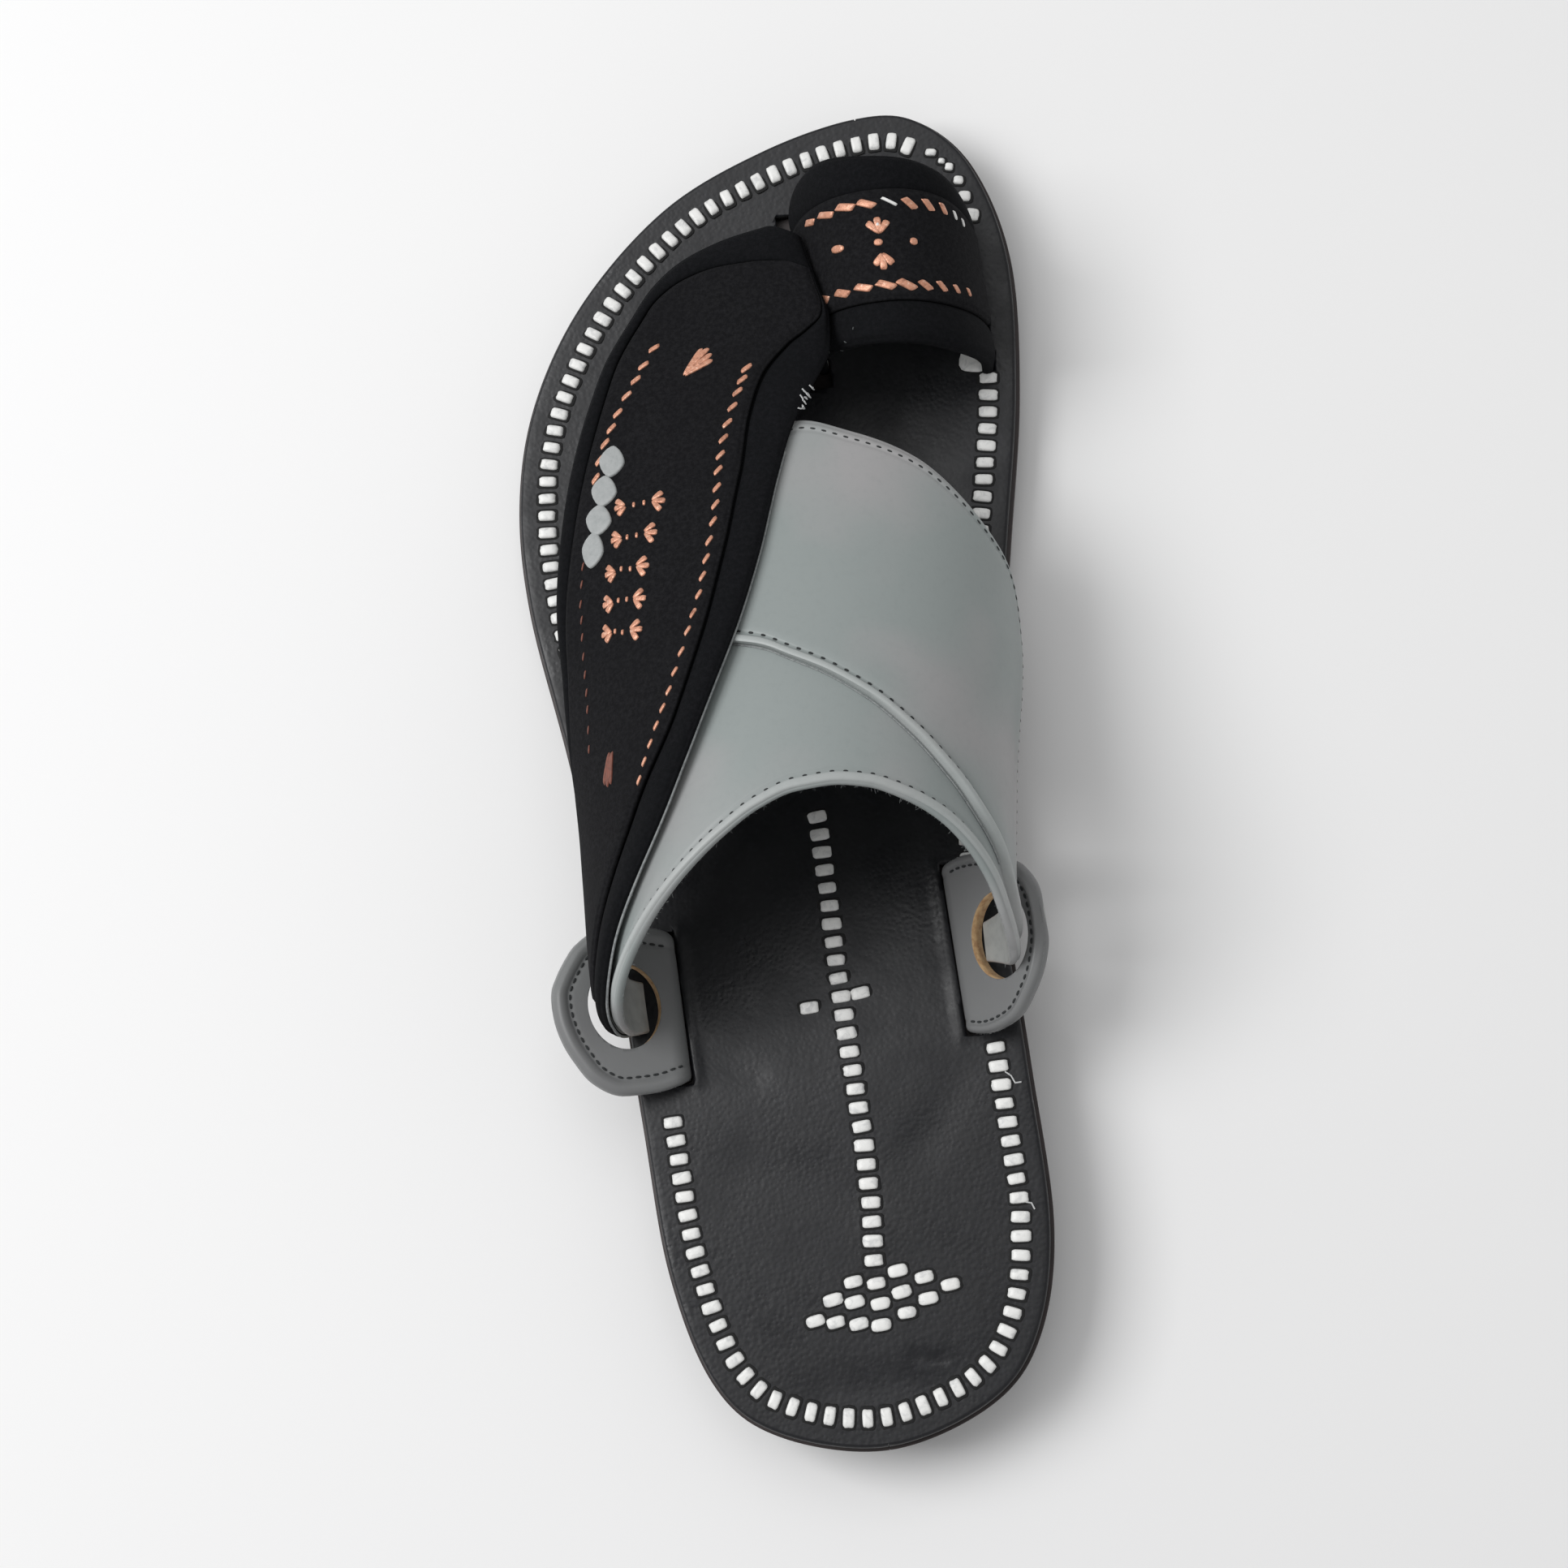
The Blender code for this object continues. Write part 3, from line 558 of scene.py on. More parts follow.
class Finish:
    """A node material: colour that varies, a grain that stands up, and a roughness that varies."""

    def __init__(self, name, colour, roughness, **sockets):
        self.material = bpy.data.materials.new(name)
        self.material.use_nodes = True
        self.tree = self.material.node_tree
        self.shader = self.tree.nodes["Principled BSDF"]
        self.colour = (*linear(colour), 1.0)
        self.shader.inputs["Base Color"].default_value = self.colour
        self.shader.inputs["Roughness"].default_value = roughness
        for socket, value in sockets.items():
            self.shader.inputs[socket.replace("_", " ")].default_value = value
        self.height = None

    def add(self, kind, **settings):
        made = self.tree.nodes.new(kind)
        for setting, value in settings.items():
            setattr(made, setting, value)
        return made

    def noise(self, size, detail=4.0, roughness=0.55, stretch=(1, 1, 1), distortion=0.0):
        """Noise whose features are about this size in metres."""
        place = self.add("ShaderNodeTexCoord")
        mapping = self.add("ShaderNodeMapping")
        mapping.inputs["Scale"].default_value = stretch
        made = self.add("ShaderNodeTexNoise")
        made.inputs["Scale"].default_value = 1 / size
        made.inputs["Detail"].default_value = detail
        made.inputs["Roughness"].default_value = roughness
        made.inputs["Distortion"].default_value = distortion
        self.tree.links.new(place.outputs["Object"], mapping.inputs["Vector"])
        self.tree.links.new(mapping.outputs["Vector"], made.inputs["Vector"])
        return made.outputs["Fac"]

    def cells(self, size, feature="SMOOTH_F1"):
        place = self.add("ShaderNodeTexCoord")
        made = self.add("ShaderNodeTexVoronoi", feature=feature)
        made.inputs["Scale"].default_value = 1 / size
        self.tree.links.new(place.outputs["Object"], made.inputs["Vector"])
        return made.outputs["Distance"]

    def ramp(self, value, low, high, bottom=0.0, top=1.0):
        """The value taken from low..high to bottom..top."""
        made = self.add("ShaderNodeMapRange")
        self.tree.links.new(value, made.inputs["Value"])
        for socket, number in (("From Min", low), ("From Max", high), ("To Min", bottom), ("To Max", top)):
            made.inputs[socket].default_value = number
        return made.outputs["Result"]

    def tint(self, share, colour):
        """Mixes another colour in by a share that varies over the surface."""
        mix = self.add("ShaderNodeMix", data_type="RGBA")
        self.tree.links.new(share, mix.inputs["Factor"])
        base = self.shader.inputs["Base Color"]
        if base.is_linked:
            self.tree.links.new(base.links[0].from_socket, mix.inputs["A"])
        else:
            mix.inputs["A"].default_value = self.colour
        mix.inputs["B"].default_value = (*linear(colour), 1.0)
        self.tree.links.new(mix.outputs["Result"], base)
        return self

    def gloss(self, value, low, high):
        """Roughness between low and high by a value that varies over the surface."""
        self.tree.links.new(self.ramp(value, 0.3, 0.7, low, high), self.shader.inputs["Roughness"])
        return self

    def grain(self, value, depth, strength=1.0):
        """Relief of this depth in metres, laid over what is there already."""
        bump = self.add("ShaderNodeBump")
        bump.inputs["Strength"].default_value = strength
        bump.inputs["Distance"].default_value = depth
        self.tree.links.new(value, bump.inputs["Height"])
        if self.height:
            self.tree.links.new(self.height, bump.inputs["Normal"])
        self.height = bump.outputs["Normal"]
        self.tree.links.new(self.height, self.shader.inputs["Normal"])
        return self


def footbed_leather():
    made = Finish(
        "footbed_leather", (15, 16, 21), 0.42, Specular_IOR_Level=0.45, Coat_Weight=0.04, Coat_Roughness=0.35,
    )
    made.tint(made.ramp(made.noise(0.030, 3), 0.35, 0.7, 0, 0.6), (10, 11, 15))
    made.tint(made.ramp(made.noise(0.0011, 3), 0.55, 0.75, 0, 0.25), (44, 46, 53))
    made.gloss(made.noise(0.012, 4), 0.32, 0.56)
    made.grain(made.cells(0.0009), 0.00009, 0.7)
    made.grain(made.noise(0.006, 5), 0.00022, 0.35)
    return made.material


def sole_leather():
    made = Finish("sole_leather", (46, 36, 36), 0.5)
    made.tint(made.ramp(made.noise(0.0012, 4, stretch=(0.15, 0.15, 3)), 0.4, 0.65, 0, 0.7), (30, 23, 22))
    made.grain(made.noise(0.0008, 4, stretch=(0.2, 0.2, 3)), 0.00008, 0.6)
    return made.material


def sole_rubber():
    made = Finish("sole_rubber", (34, 34, 36), 0.62)
    made.tint(made.ramp(made.noise(0.006, 4), 0.4, 0.7, 0, 0.5), (27, 27, 28))
    made.grain(made.noise(0.0007, 4), 0.00008, 0.5)
    return made.material


def grey_leather(name="grey_smooth_leather", colour=(145, 152, 151), warm=(163, 160, 161)):
    made = Finish(name, colour, 0.44, Specular_IOR_Level=0.35, Coat_Weight=0.08, Coat_Roughness=0.3)
    made.tint(made.ramp(made.noise(0.045, 2), 0.42, 0.62, 0, 0.75), warm)
    made.tint(made.ramp(made.noise(0.0016, 4), 0.5, 0.8, 0, 0.12), (118, 125, 125))
    made.gloss(made.noise(0.010, 3), 0.38, 0.50)
    made.grain(made.cells(0.0006), 0.00003, 0.35)
    made.grain(made.noise(0.004, 4), 0.00008, 0.25)
    return made.material


def suede(name, colour, nap):
    made = Finish(name, colour, 0.95, Specular_IOR_Level=0.10)
    made.tint(made.ramp(made.noise(0.0009, 4, 0.7), 0.4, 0.7, 0, 0.7), nap)
    made.tint(made.ramp(made.noise(0.018, 3), 0.45, 0.75, 0, 0.4), colour)
    made.grain(made.noise(0.00035, 3, 0.7), 0.00012, 0.8)
    made.grain(made.noise(0.0015, 4), 0.00010, 0.5)
    return made.material


def white_leather():
    made = Finish("white_thong_leather", (236, 236, 234), 0.42, Coat_Weight=0.1, Coat_Roughness=0.3)
    made.tint(made.ramp(made.noise(0.0022, 5, 0.6, distortion=0.8), 0.50, 0.68, 0, 0.55), (176, 178, 180))
    made.grain(made.noise(0.0011, 4), 0.00012, 0.5)
    return made.material


def copper_foil():
    made = Finish("copper_foil_leather", (212, 152, 124), 0.38, Metallic=0.35, Specular_IOR_Level=0.6)
    made.tint(made.ramp(made.noise(0.0012, 4, 0.6), 0.50, 0.70, 0, 0.75), (138, 88, 68))
    # Pale specks: painted glints on the foil
    made.tint(made.ramp(made.noise(0.0007, 3), 0.56, 0.72, 0, 0.6), (246, 212, 190))
    made.grain(made.noise(0.0006, 4), 0.00016, 0.7)
    return made.material


def plain(name, colour, roughness, spot, size=0.001):
    """A small part's finish: one colour with spots of another and a fine grain."""
    made = Finish(name, colour, roughness)
    made.tint(made.ramp(made.noise(size, 4), 0.42, 0.68, 0, 0.8), spot)
    made.grain(made.noise(size / 2, 3), 0.0001, 0.6)
    return made.material


FOOTBED_LEATHER = footbed_leather()
SOLE_LEATHER = sole_leather()
SOLE_RUBBER = sole_rubber()
GREY_LEATHER = grey_leather()
# Paler copy of the grey leather for the rolled edges: painted highlight along the rolls
ROLLED_LEATHER_PAINTED_HIGHLIGHT = grey_leather("rolled_grey_leather_painted_highlight", (168, 173, 172), (172, 172, 172))
EAR_LEATHER = grey_leather("ear_smooth_leather", (122, 124, 124), (116, 116, 117))
LINING = plain("lining_leather", (158, 160, 158), 0.7, (140, 143, 141), 0.003)
LEAF_SUEDE = suede("leaf_suede", (20, 20, 22), (37, 37, 39))
BORDER_SUEDE = suede("border_suede", (15, 16, 18), (27, 27, 30))
RAW_EDGE = plain("raw_edge_leather", (150, 153, 153), 0.95, (112, 116, 118), 0.0007)
TAN_EDGE = plain("tan_edge_leather", (196, 164, 122), 0.85, (150, 108, 72), 0.0012)
WHITE_LEATHER = white_leather()
COPPER_FOIL = copper_foil()
DARK_COPPER = plain("dark_copper_leather", (120, 66, 50), 0.5, (88, 50, 40))
# Dark sheets round the lacing pads and on the slits' cut walls: painted shadow in the slots and slits
PAINTED_SLOT_SHADOW = plain("slot_shadow_leather", (12, 12, 13), 0.8, (8, 8, 9))
GREY_THREAD = plain("grey_thread", (80, 84, 84), 0.8, (50, 54, 54), 0.0005)
DARK_THREAD = plain("dark_thread", (44, 47, 48), 0.8, (30, 32, 33), 0.0005)
WHITE_THREAD = plain("white_thread", (205, 206, 206), 0.8, (170, 172, 174), 0.0005)
SCALE_LEATHER = plain("scale_leather", (160, 163, 163), 0.5, (146, 150, 150), 0.0015)


# Sole

SOLE_ROWS = 240
SOLE_COLUMNS = 90
EAR_BULGE = 0.0007
# Marks on the footbed: from, to, half width, depth, in metres
FOOTBED_CREASES = (
    ((0.008, 0.018), (0.014, 0.0165), 0.0009, 0.00035),
    ((-0.026, 0.086), (-0.016, 0.080), 0.0030, 0.00030),
    ((-0.020, 0.062), (0.000, 0.052), 0.0060, 0.00035),
    ((0.016, 0.060), (0.026, 0.072), 0.0050, 0.00030),
    ((-0.010, 0.014), (0.014, 0.012), 0.0045, 0.00030),
    ((-0.024, 0.196), (-0.034, 0.178), 0.0040, 0.00025),
)


def to_line(x, y, start, end):
    """Distance of points to a stretch of line."""
    start, end = np.array(start), np.array(end)
    along = end - start
    share = np.clip(((x - start[0]) * along[0] + (y - start[1]) * along[1]) / (along @ along), 0, 1)
    return np.hypot(x - start[0] - share * along[0], y - start[1] - share * along[1])


def footbed_relief(x, y):
    """Small rises and hollows of the footbed: creases, and leather pushed up beside each ear."""
    rise = np.zeros_like(x)
    for start, end, width, depth in FOOTBED_CREASES:
        rise -= depth * dip(to_line(x, y, start, end), width)
    for side, root, _, columns, *_ in EARS.values():
        rear, front = (LENGTH * EAR[0][i] for i in columns)
        edge = root * BALL_WIDTH
        inner = to_line(x, y, (edge - side * 1.2 * MM, rear), (edge - side * 1.2 * MM, front))
        rise += EAR_BULGE * dip(inner, 1.1 * MM)
    return rise


def sole_layer(name, inset, top, bottom, edge, finish, relief=None, rows=SOLE_ROWS, columns=SOLE_COLUMNS):
    """A sole layer with a rounded upper edge."""
    turns = np.radians([90, 60, 30, 0])
    arcs = [rim_sides(rows, inset + edge * (1 - math.cos(turn)), 0.1) for turn in turns]
    lows = [edge * (1 - math.sin(turn)) for turn in turns]
    shares = np.linspace(0, 1, columns)
    rings = []
    for i in range(rows):
        a, b = arcs[0][0][i], arcs[0][1][i]
        flat = a + (b - a) * shares[:, None]
        z = top(flat[:, 1])
        if relief:
            z = z + relief(flat[:, 0], flat[:, 1])
        ring = [np.column_stack([flat, z])]
        right = np.array([[*arc[1][i], top(arc[1][i][1]) - low] for arc, low in zip(arcs[1:], lows[1:])])
        left = np.array([[*arc[0][i], top(arc[0][i][1]) - low] for arc, low in zip(arcs[1:], lows[1:])])
        c, d = arcs[-1][0][i], arcs[-1][1][i]
        under = c + (d - c) * np.linspace(1, 0, 12)[:, None]
        ring += [right, np.column_stack([under, bottom(under[:, 1])]), left[::-1]]
        rings.append(np.concatenate(ring))
    return loft(name, rings, [finish], sharp=60)


def box_cutter(name, low, high):
    """A box right through the insole, following the footbed."""
    rings = []
    for y in np.linspace(low[1], high[1], 5):
        under, over = footbed(y) - 3 * INSOLE, footbed(y) + 2 * INSOLE
        rings.append([(low[0], y, under), (high[0], y, under), (high[0], y, over), (low[0], y, over)])
    # The box's finish stays on the slit's walls as painted shadow
    return loft(name, rings, [PAINTED_SLOT_SHADOW])


def cut(piece, cutter):
    """Cuts a shape out of a piece and leaves the cutter's finish on the cut."""
    change = piece.modifiers.new("cut", "BOOLEAN")
    change.operation = "DIFFERENCE"
    change.solver = "EXACT"
    change.material_mode = "TRANSFER"
    change.object = cutter
    bpy.context.view_layer.objects.active = piece
    bpy.ops.object.modifier_apply(modifier=change.name)
    bpy.data.objects.remove(cutter, do_unlink=True)


def post_x():
    """Medial face of the leaf strap's toe end, against the toe loop's lateral leg."""
    return LOOP_X - LOOP_HALF - BAND - 2 * GAP


def make_sole():
    sheet = INSOLE + GAP
    tread = sheet + MIDSOLE + GAP

    def under(depth):
        return lambda y: footbed(y) - depth

    insole = sole_layer(
        "insole_leather", INSOLE_INSET, footbed, under(INSOLE), 0.8 * MM, FOOTBED_LEATHER, footbed_relief,
    )
    midsole = sole_layer(
        "midsole_leather", 0.0, under(sheet), lambda y: footbed(y) - sheet - MIDSOLE, 0.3 * MM, SOLE_LEATHER,
        columns=24,
    )
    outsole = sole_layer(
        "outsole_rubber", OUTSOLE_INSET, under(tread), lambda y: footbed(y) - tread - OUTSOLE, 0.5 * MM,
        SOLE_RUBBER, columns=24,
    )
    cut_slits(insole)
    for piece, node, slot in (
        (insole, "insole", "black_leather"),
        (midsole, "midsole", "brown_leather"),
        (outsole, "outsole", "black_rubber"),
        (make_heel(tread + OUTSOLE + GAP), "heel", "black_rubber"),
    ):
        carry(piece, slot, node)
    return insole


def cut_slits(insole):
    for side, root, _, columns, *_ in EARS.values():
        edge = root * BALL_WIDTH
        far = edge + side * EAR_WALL
        rear, front = (LENGTH * EAR[0][i] for i in columns)
        low = (min(edge, far) - GAP, rear - 2 * GAP)
        high = (max(edge, far) + GAP, front + 2 * GAP)
        cut(insole, box_cutter("ear_slit", low, high))
    rear, front = LENGTH * LOOP[0][1], LENGTH * LOOP[0][2]
    low = (post_x() - POST_WALL - GAP, min(rear, LENGTH * POST_FROM) - 2 * GAP)
    cut(insole, box_cutter("toe_slit", low, (LOOP_X - LOOP_HALF + LOOP_WALL + GAP, front + 2 * GAP)))
    rear, front = LENGTH * LOOP[-1][1], LENGTH * LOOP[-1][2]
    low = (LOOP_X + LOOP_HALF - LOOP_WALL - GAP, rear - 2 * GAP)
    cut(insole, box_cutter("medial_slit", low, (LOOP_X + LOOP_HALF + GAP, front + 2 * GAP)))


def make_heel(under):
    """The heel lift: the rim's own outline back from the breast, flat on the floor."""
    lateral, medial = rim_sides(200, HEEL_INSET)
    shares = np.linspace(-1, 1, 17)
    rings = []
    for a, b in zip(lateral, medial):
        ring = a + (b - a) * (shares[:, None] + 1) / 2
        if ring[:, 1].max() > HEEL_LENGTH - 1.3 * BREAST_CURVE:
            break
        rings.append(ring)
    last = rings[-1].copy()
    last[:, 1] = HEEL_LENGTH - BREAST_CURVE * (1 - shares**2)
    rings.append(last)
    solid = []
    for ring in rings:
        top = np.column_stack([ring, footbed(ring[:, 1]) - under])
        low = np.column_stack([ring[::-1], np.zeros(len(ring))])
        solid.append(np.concatenate([top, low]))
    return loft("heel_rubber", solid, [SOLE_RUBBER])


def carry(piece, slot, *nodes):
    """Puts a piece on the sandal's one body and hides the CAD nodes that it stands for; the slot is not used.
    """
    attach(piece, "root")
    if nodes:
        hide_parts(*nodes)


# Straps

SADDLE_ROLL = 2.2 * MM
SADDLE_SEAM = 2.9 * MM
FRONT_SEAM = 2.4 * MM
SEAM_DEPTH = 0.00022
# Steps between the stops across the saddle, those of each roll, and the share from which the lap is seen
SADDLE_STEPS = (18, 14, 22, 26, 14)
REAR_ROLL_STEPS = 10
LAP_ROLL_START, LAP_ROLL_STEPS = 3, 11
LAP_SHOWS = 0.3


def lap_share(row):
    return by_row(SADDLE, 4, row)


def saddle_plan(row, width, run_at):
    """Rolled rear edge with its seam, the lapped panel's rolled edge with its seam, and the front edge's."""
    lap_at = run_at(lap_share(row))
    lap = by_row(SADDLE, 5, row)
    end = min(4 * MM, 0.3 * width)
    stops = [0, min(end, 0.8 * lap_at), lap_at - 0.6 * MM, lap_at + 1.2 * SADDLE_SEAM, width - end, width]
    at = spread(np.clip(stops, 0, width), SADDLE_STEPS)
    lift = WALL + 0.9 * ROLL * bead(at, SADDLE_ROLL) - SEAM_DEPTH * dip(at - SADDLE_SEAM, 0.5 * MM)
    lift = lift + LAP * lap * step_up(at - lap_at, 0.25 * MM)
    lap_seam = SEAM_DEPTH * lap * dip(at - lap_at - SADDLE_SEAM, 0.5 * MM)
    lift += ROLL * lap * bead(at - lap_at, SADDLE_ROLL) - lap_seam
    lift -= SEAM_DEPTH * dip(width - at - FRONT_SEAM, 0.5 * MM)
    lift -= 0.35 * WALL * dip(width - at, 0.7 * MM)
    return at, lift, 0.0


def saddle_outer(row):
    """The rolled edges take a paler copy of the grey leather: a painted highlight along the rolls."""
    rolled = 2
    parts = np.zeros(sum(SADDLE_STEPS), int)
    parts[:REAR_ROLL_STEPS] = rolled
    start = sum(SADDLE_STEPS[:2]) + LAP_ROLL_START
    if by_row(SADDLE, 5, row) > LAP_SHOWS:
        parts[start:start + LAP_ROLL_STEPS] = rolled
    return parts


def make_saddle():
    rows = np.linspace(0, len(SADDLE) - 1, 260)
    finishes = [GREY_LEATHER, LINING, ROLLED_LEATHER_PAINTED_HIGHLIGHT]
    piece = strap(
        "saddle_leather", saddle_place, rows, saddle_plan, finishes, edge=0.6 * MM, outer=saddle_outer,
    )
    carry(piece, "grey_leather", "upper")
    return piece


LEAF_EDGE = LEAF_WALL + LEAF_BORDER


def leaf_plan(row, width, run_at):
    """A rounded outer border, the bed of the inset panel and the rounded inner border."""
    out, into = bed_edges(row)
    panel_out, panel_in = run_at(out - 0.02), run_at(into + 0.012)
    at = spread([0, panel_out, panel_in, width], [22, 16, 26])
    borders = np.maximum(bead(at, panel_out), bead(at - panel_in, width - panel_in))
    closed = step_up(row - PANEL_TO + 0.2, 0.4)
    borders = borders + (bead(at, width) - borders) * closed
    lift = 0.8 * LEAF_WALL + (LEAF_EDGE + 0.3 * MM - 0.8 * LEAF_WALL) * borders ** 0.7
    lift[0] = 0.7 * LEAF_EDGE
    lift[-1] = 0.7 * LEAF_EDGE
    return at, lift, 0.0


def panel_plan(row, width, run_at):
    """A flat panel with soft edges and a slight fall at its seams."""
    end = min(2.5 * MM, 0.3 * width)
    at = spread([0, end, width - end, width], [12, 24, 12])
    edge = np.minimum(at, width - at)
    lift = PANEL + 0.25 * MM - 0.35 * MM * dip(edge, 0.6 * MM)
    return at, lift, 0.0


def panel_place(row, share, lift):
    out, into = bed_edges(row)
    return leaf_place(row, out + (into - out) * share, LEAF_WALL + GAP + lift)


def leaf_height(x, y):
    """Height inside the leaf strap's toe end over a place on the insole."""
    rows = np.linspace(TOE_ROW, len(LEAF) - 1, 57)[:, None]
    points = leaf_place(rows, np.linspace(0.5, 1, 31), 0.6 * LEAF_WALL).reshape(-1, 3)
    return points[np.hypot(points[:, 0] - x, points[:, 1] - y).argmin(), 2]


def make_leaf():
    rows = np.linspace(0, len(LEAF) - 1, 240)
    leaf = strap("leaf_suede", leaf_place, rows, leaf_plan, [BORDER_SUEDE, LINING, RAW_EDGE], edge=0.5 * MM)
    carry(leaf, "black_suede", "leaf_strap")
    rows = np.linspace(PANEL_FROM, PANEL_TO, 200)
    panel = strap("leaf_inset", panel_place, rows, panel_plan, [LEAF_SUEDE, LEAF_SUEDE], edge=0.4 * MM)
    carry(panel, "black_suede", "leaf_panel")
    rings = []
    left, right = post_x() - POST_WALL, post_x()
    for station in np.linspace(POST_FROM, POST_TO, 20):
        y = station * LENGTH
        low, top = footbed(y) - INSOLE, leaf_height((left + right) / 2, y)
        rings.append([(left, y, low), (right, y, low), (right, y, top), (left, y, top)])
    root = loft("leaf_root", rings, [BORDER_SUEDE])
    carry(root, "black_suede")
    return leaf, panel


def loop_plan(row, width, run_at):
    """Two padded borders with the band's bed between them."""
    rear, front = (smooth(column(LOOP, 0), column(LOOP, i), row) for i in (1, 2))
    low, high = (smooth(column(LOOP, 0), column(LOOP, i), row) for i in (3, 4))
    rear_roll = run_at((low - rear) / (front - rear)) - 0.3 * MM
    front_roll = run_at((high - rear) / (front - rear)) + 0.3 * MM
    at = spread([0, rear_roll, front_roll, width], [24, 14, 24])
    pad = 1.3 * MM if abs(row) < 80 else 1.3 * MM * max(0, (100 - abs(row)) / 20)
    lift = pad * np.maximum(bead(at, rear_roll), bead(at - front_roll, width - front_roll)) ** 0.8
    return at, lift, -LOOP_WALL


def band_plan(row, width, run_at):
    at = spread([0, 2 * MM, width - 2 * MM, width], [10, 18, 10])
    edge = np.minimum(at, width - at)
    return at, GAP + BAND + 0.3 * MM - 0.4 * MM * dip(edge, 0.6 * MM), GAP


def make_loop():
    rows = np.linspace(-100, 100, 160)
    loop = strap("toe_loop_suede", loop_place, rows, loop_plan, [BORDER_SUEDE, LINING], edge=0.8 * MM)
    carry(loop, "black_suede", "toe_loop")
    rows = np.linspace(-BAND_END, BAND_END, 120)
    band = strap("toe_band_suede", band_place, rows, band_plan, [LEAF_SUEDE, LEAF_SUEDE], edge=0.4 * MM)
    carry(band, "black_suede", "toe_band")
    return loop, band


# Ears

EAR_EDGE = 1.2 * MM
EAR_PADDING = 0.6 * MM
# Width of the finely stepped rim, and the ear's width below which it has none
EAR_RIM = 5 * MM
EAR_NARROW = 10.5 * MM
# Distance of each ear's seam from its edge
EAR_SEAMS = {"ear_lateral": 3.7 * MM, "ear_medial": 2.5 * MM}


def to_outline(outline, run, places):
    """Distance of places along the foot, at a run up from the root, to the free edge."""
    steps = outline[None, :, :] - np.stack([np.full(len(places), run), places], axis=1)[:, None, :]
    return np.hypot(steps[..., 0], steps[..., 1]).min(axis=1)


def ear_spot(name, run, y, lift):
    """A point of an ear by its run up from the root and its place along the foot."""
    rear, front = ear_sides(name, run)
    return ear_place(name, run, np.array([(y - rear) / (front - rear)]), lift)[0]


def make_ear(name):
    arc = EAR_BEND * math.radians(90 - EARS[name][2])
    outline = ear_outline(name)
    length = outline[:, 0].max()
    seam = EAR_SEAMS[name]
    runs = np.concatenate([
        [-INSOLE, 0.0],
        arc * np.linspace(0.1, 1, 10),
        arc + (length - arc) * np.sin(np.linspace(0.03, math.pi / 2 - 0.02, 90)),
    ])

    def plan(run, width, run_at):
        at = spread([0, width], [68])
        if width > EAR_NARROW:
            at = spread([0, EAR_RIM, width - EAR_RIM, width], [22, 24, 22])
        round_end = min(EAR_EDGE, 0.2 * width)
        places = ear_sides(name, run)[0] + round_end + at * (1 - 2 * round_end / width)
        free = to_outline(outline, max(0.0, run), places)
        raised = EAR_PADDING * bead(free, seam - 0.5 * MM) ** 2 * min(1.0, max(0.0, run) / arc)
        thick = EAR_WALL + raised - 0.08 * MM * dip(free - seam, 0.5 * MM)
        tip = np.clip(free / (1.6 * MM), 0.02, 1.0)
        middle = EAR_WALL / 2
        end = min(1.0, max(0.02, (length - run) / (1.4 * MM)))
        upper = middle + (thick - middle) * np.sqrt(1 - (1 - tip) ** 2)
        return at, upper, middle * (1 - math.sqrt(1 - (1 - end) ** 2))

    piece = strap(
        name + "_leather", functools.partial(ear_place, name), runs, plan, [EAR_LEATHER, LINING],
        edge=EAR_EDGE, sharp=70,
    )
    cut(piece, hole_cutter(name))
    carry(piece, "ear_leather", name)


def hole_cutter(name):
    """An oval plug through the flap, square to it."""
    side, root, tilt, _, hole, hole_out, half_out = EARS[name]
    arc = EAR_BEND * math.radians(90 - tilt)
    (x, z), (nx, nz) = ear_frame(side, tilt, arc + hole_out)
    out = (side * math.cos(math.radians(tilt)), math.sin(math.radians(tilt)))
    y = hole * LENGTH
    rings = []
    for reach in (-3 * EAR_WALL, 3 * EAR_WALL):
        ring = []
        for turn in np.linspace(0, 2 * math.pi, 96, endpoint=False):
            along, across = HOLE_HALF_Y * math.sin(turn), half_out * math.cos(turn)
            cx = root * BALL_WIDTH + side * EAR_WALL / 2 + x + nx * reach + out[0] * across
            cz = footbed(y) + GAP + z + nz * reach + out[1] * across
            ring.append((cx, y + along, cz))
        rings.append(ring)
    return loft("hole_cutter", rings, [TAN_EDGE])


# The photo's view

def unit(vector):
    return vector / np.linalg.norm(vector)


# Height at which a pixel that just misses a strap is looked for
STRAP_HEIGHT = 0.045


def photo_axes():
    """The photo's right, up and forward directions."""
    turn, tilt = math.radians(PHOTO_TURN), math.radians(PHOTO_TILT)
    right = np.array([math.cos(turn), -math.sin(turn), 0.0])
    up = np.array([math.sin(turn) * math.cos(tilt), math.cos(turn) * math.cos(tilt), math.sin(tilt)])
    forward = np.array([math.sin(turn) * math.sin(tilt), math.cos(turn) * math.sin(tilt), -math.cos(tilt)])
    return right, up, forward


def sight(pixel):
    """The direction in which the photo's camera sees a pixel."""
    right, up, forward = photo_axes()
    across, down = (pixel[0] - PHOTO_MIDDLE) / PHOTO_FOCAL, (pixel[1] - PHOTO_MIDDLE) / PHOTO_FOCAL
    return unit(forward + across * right - down * up)


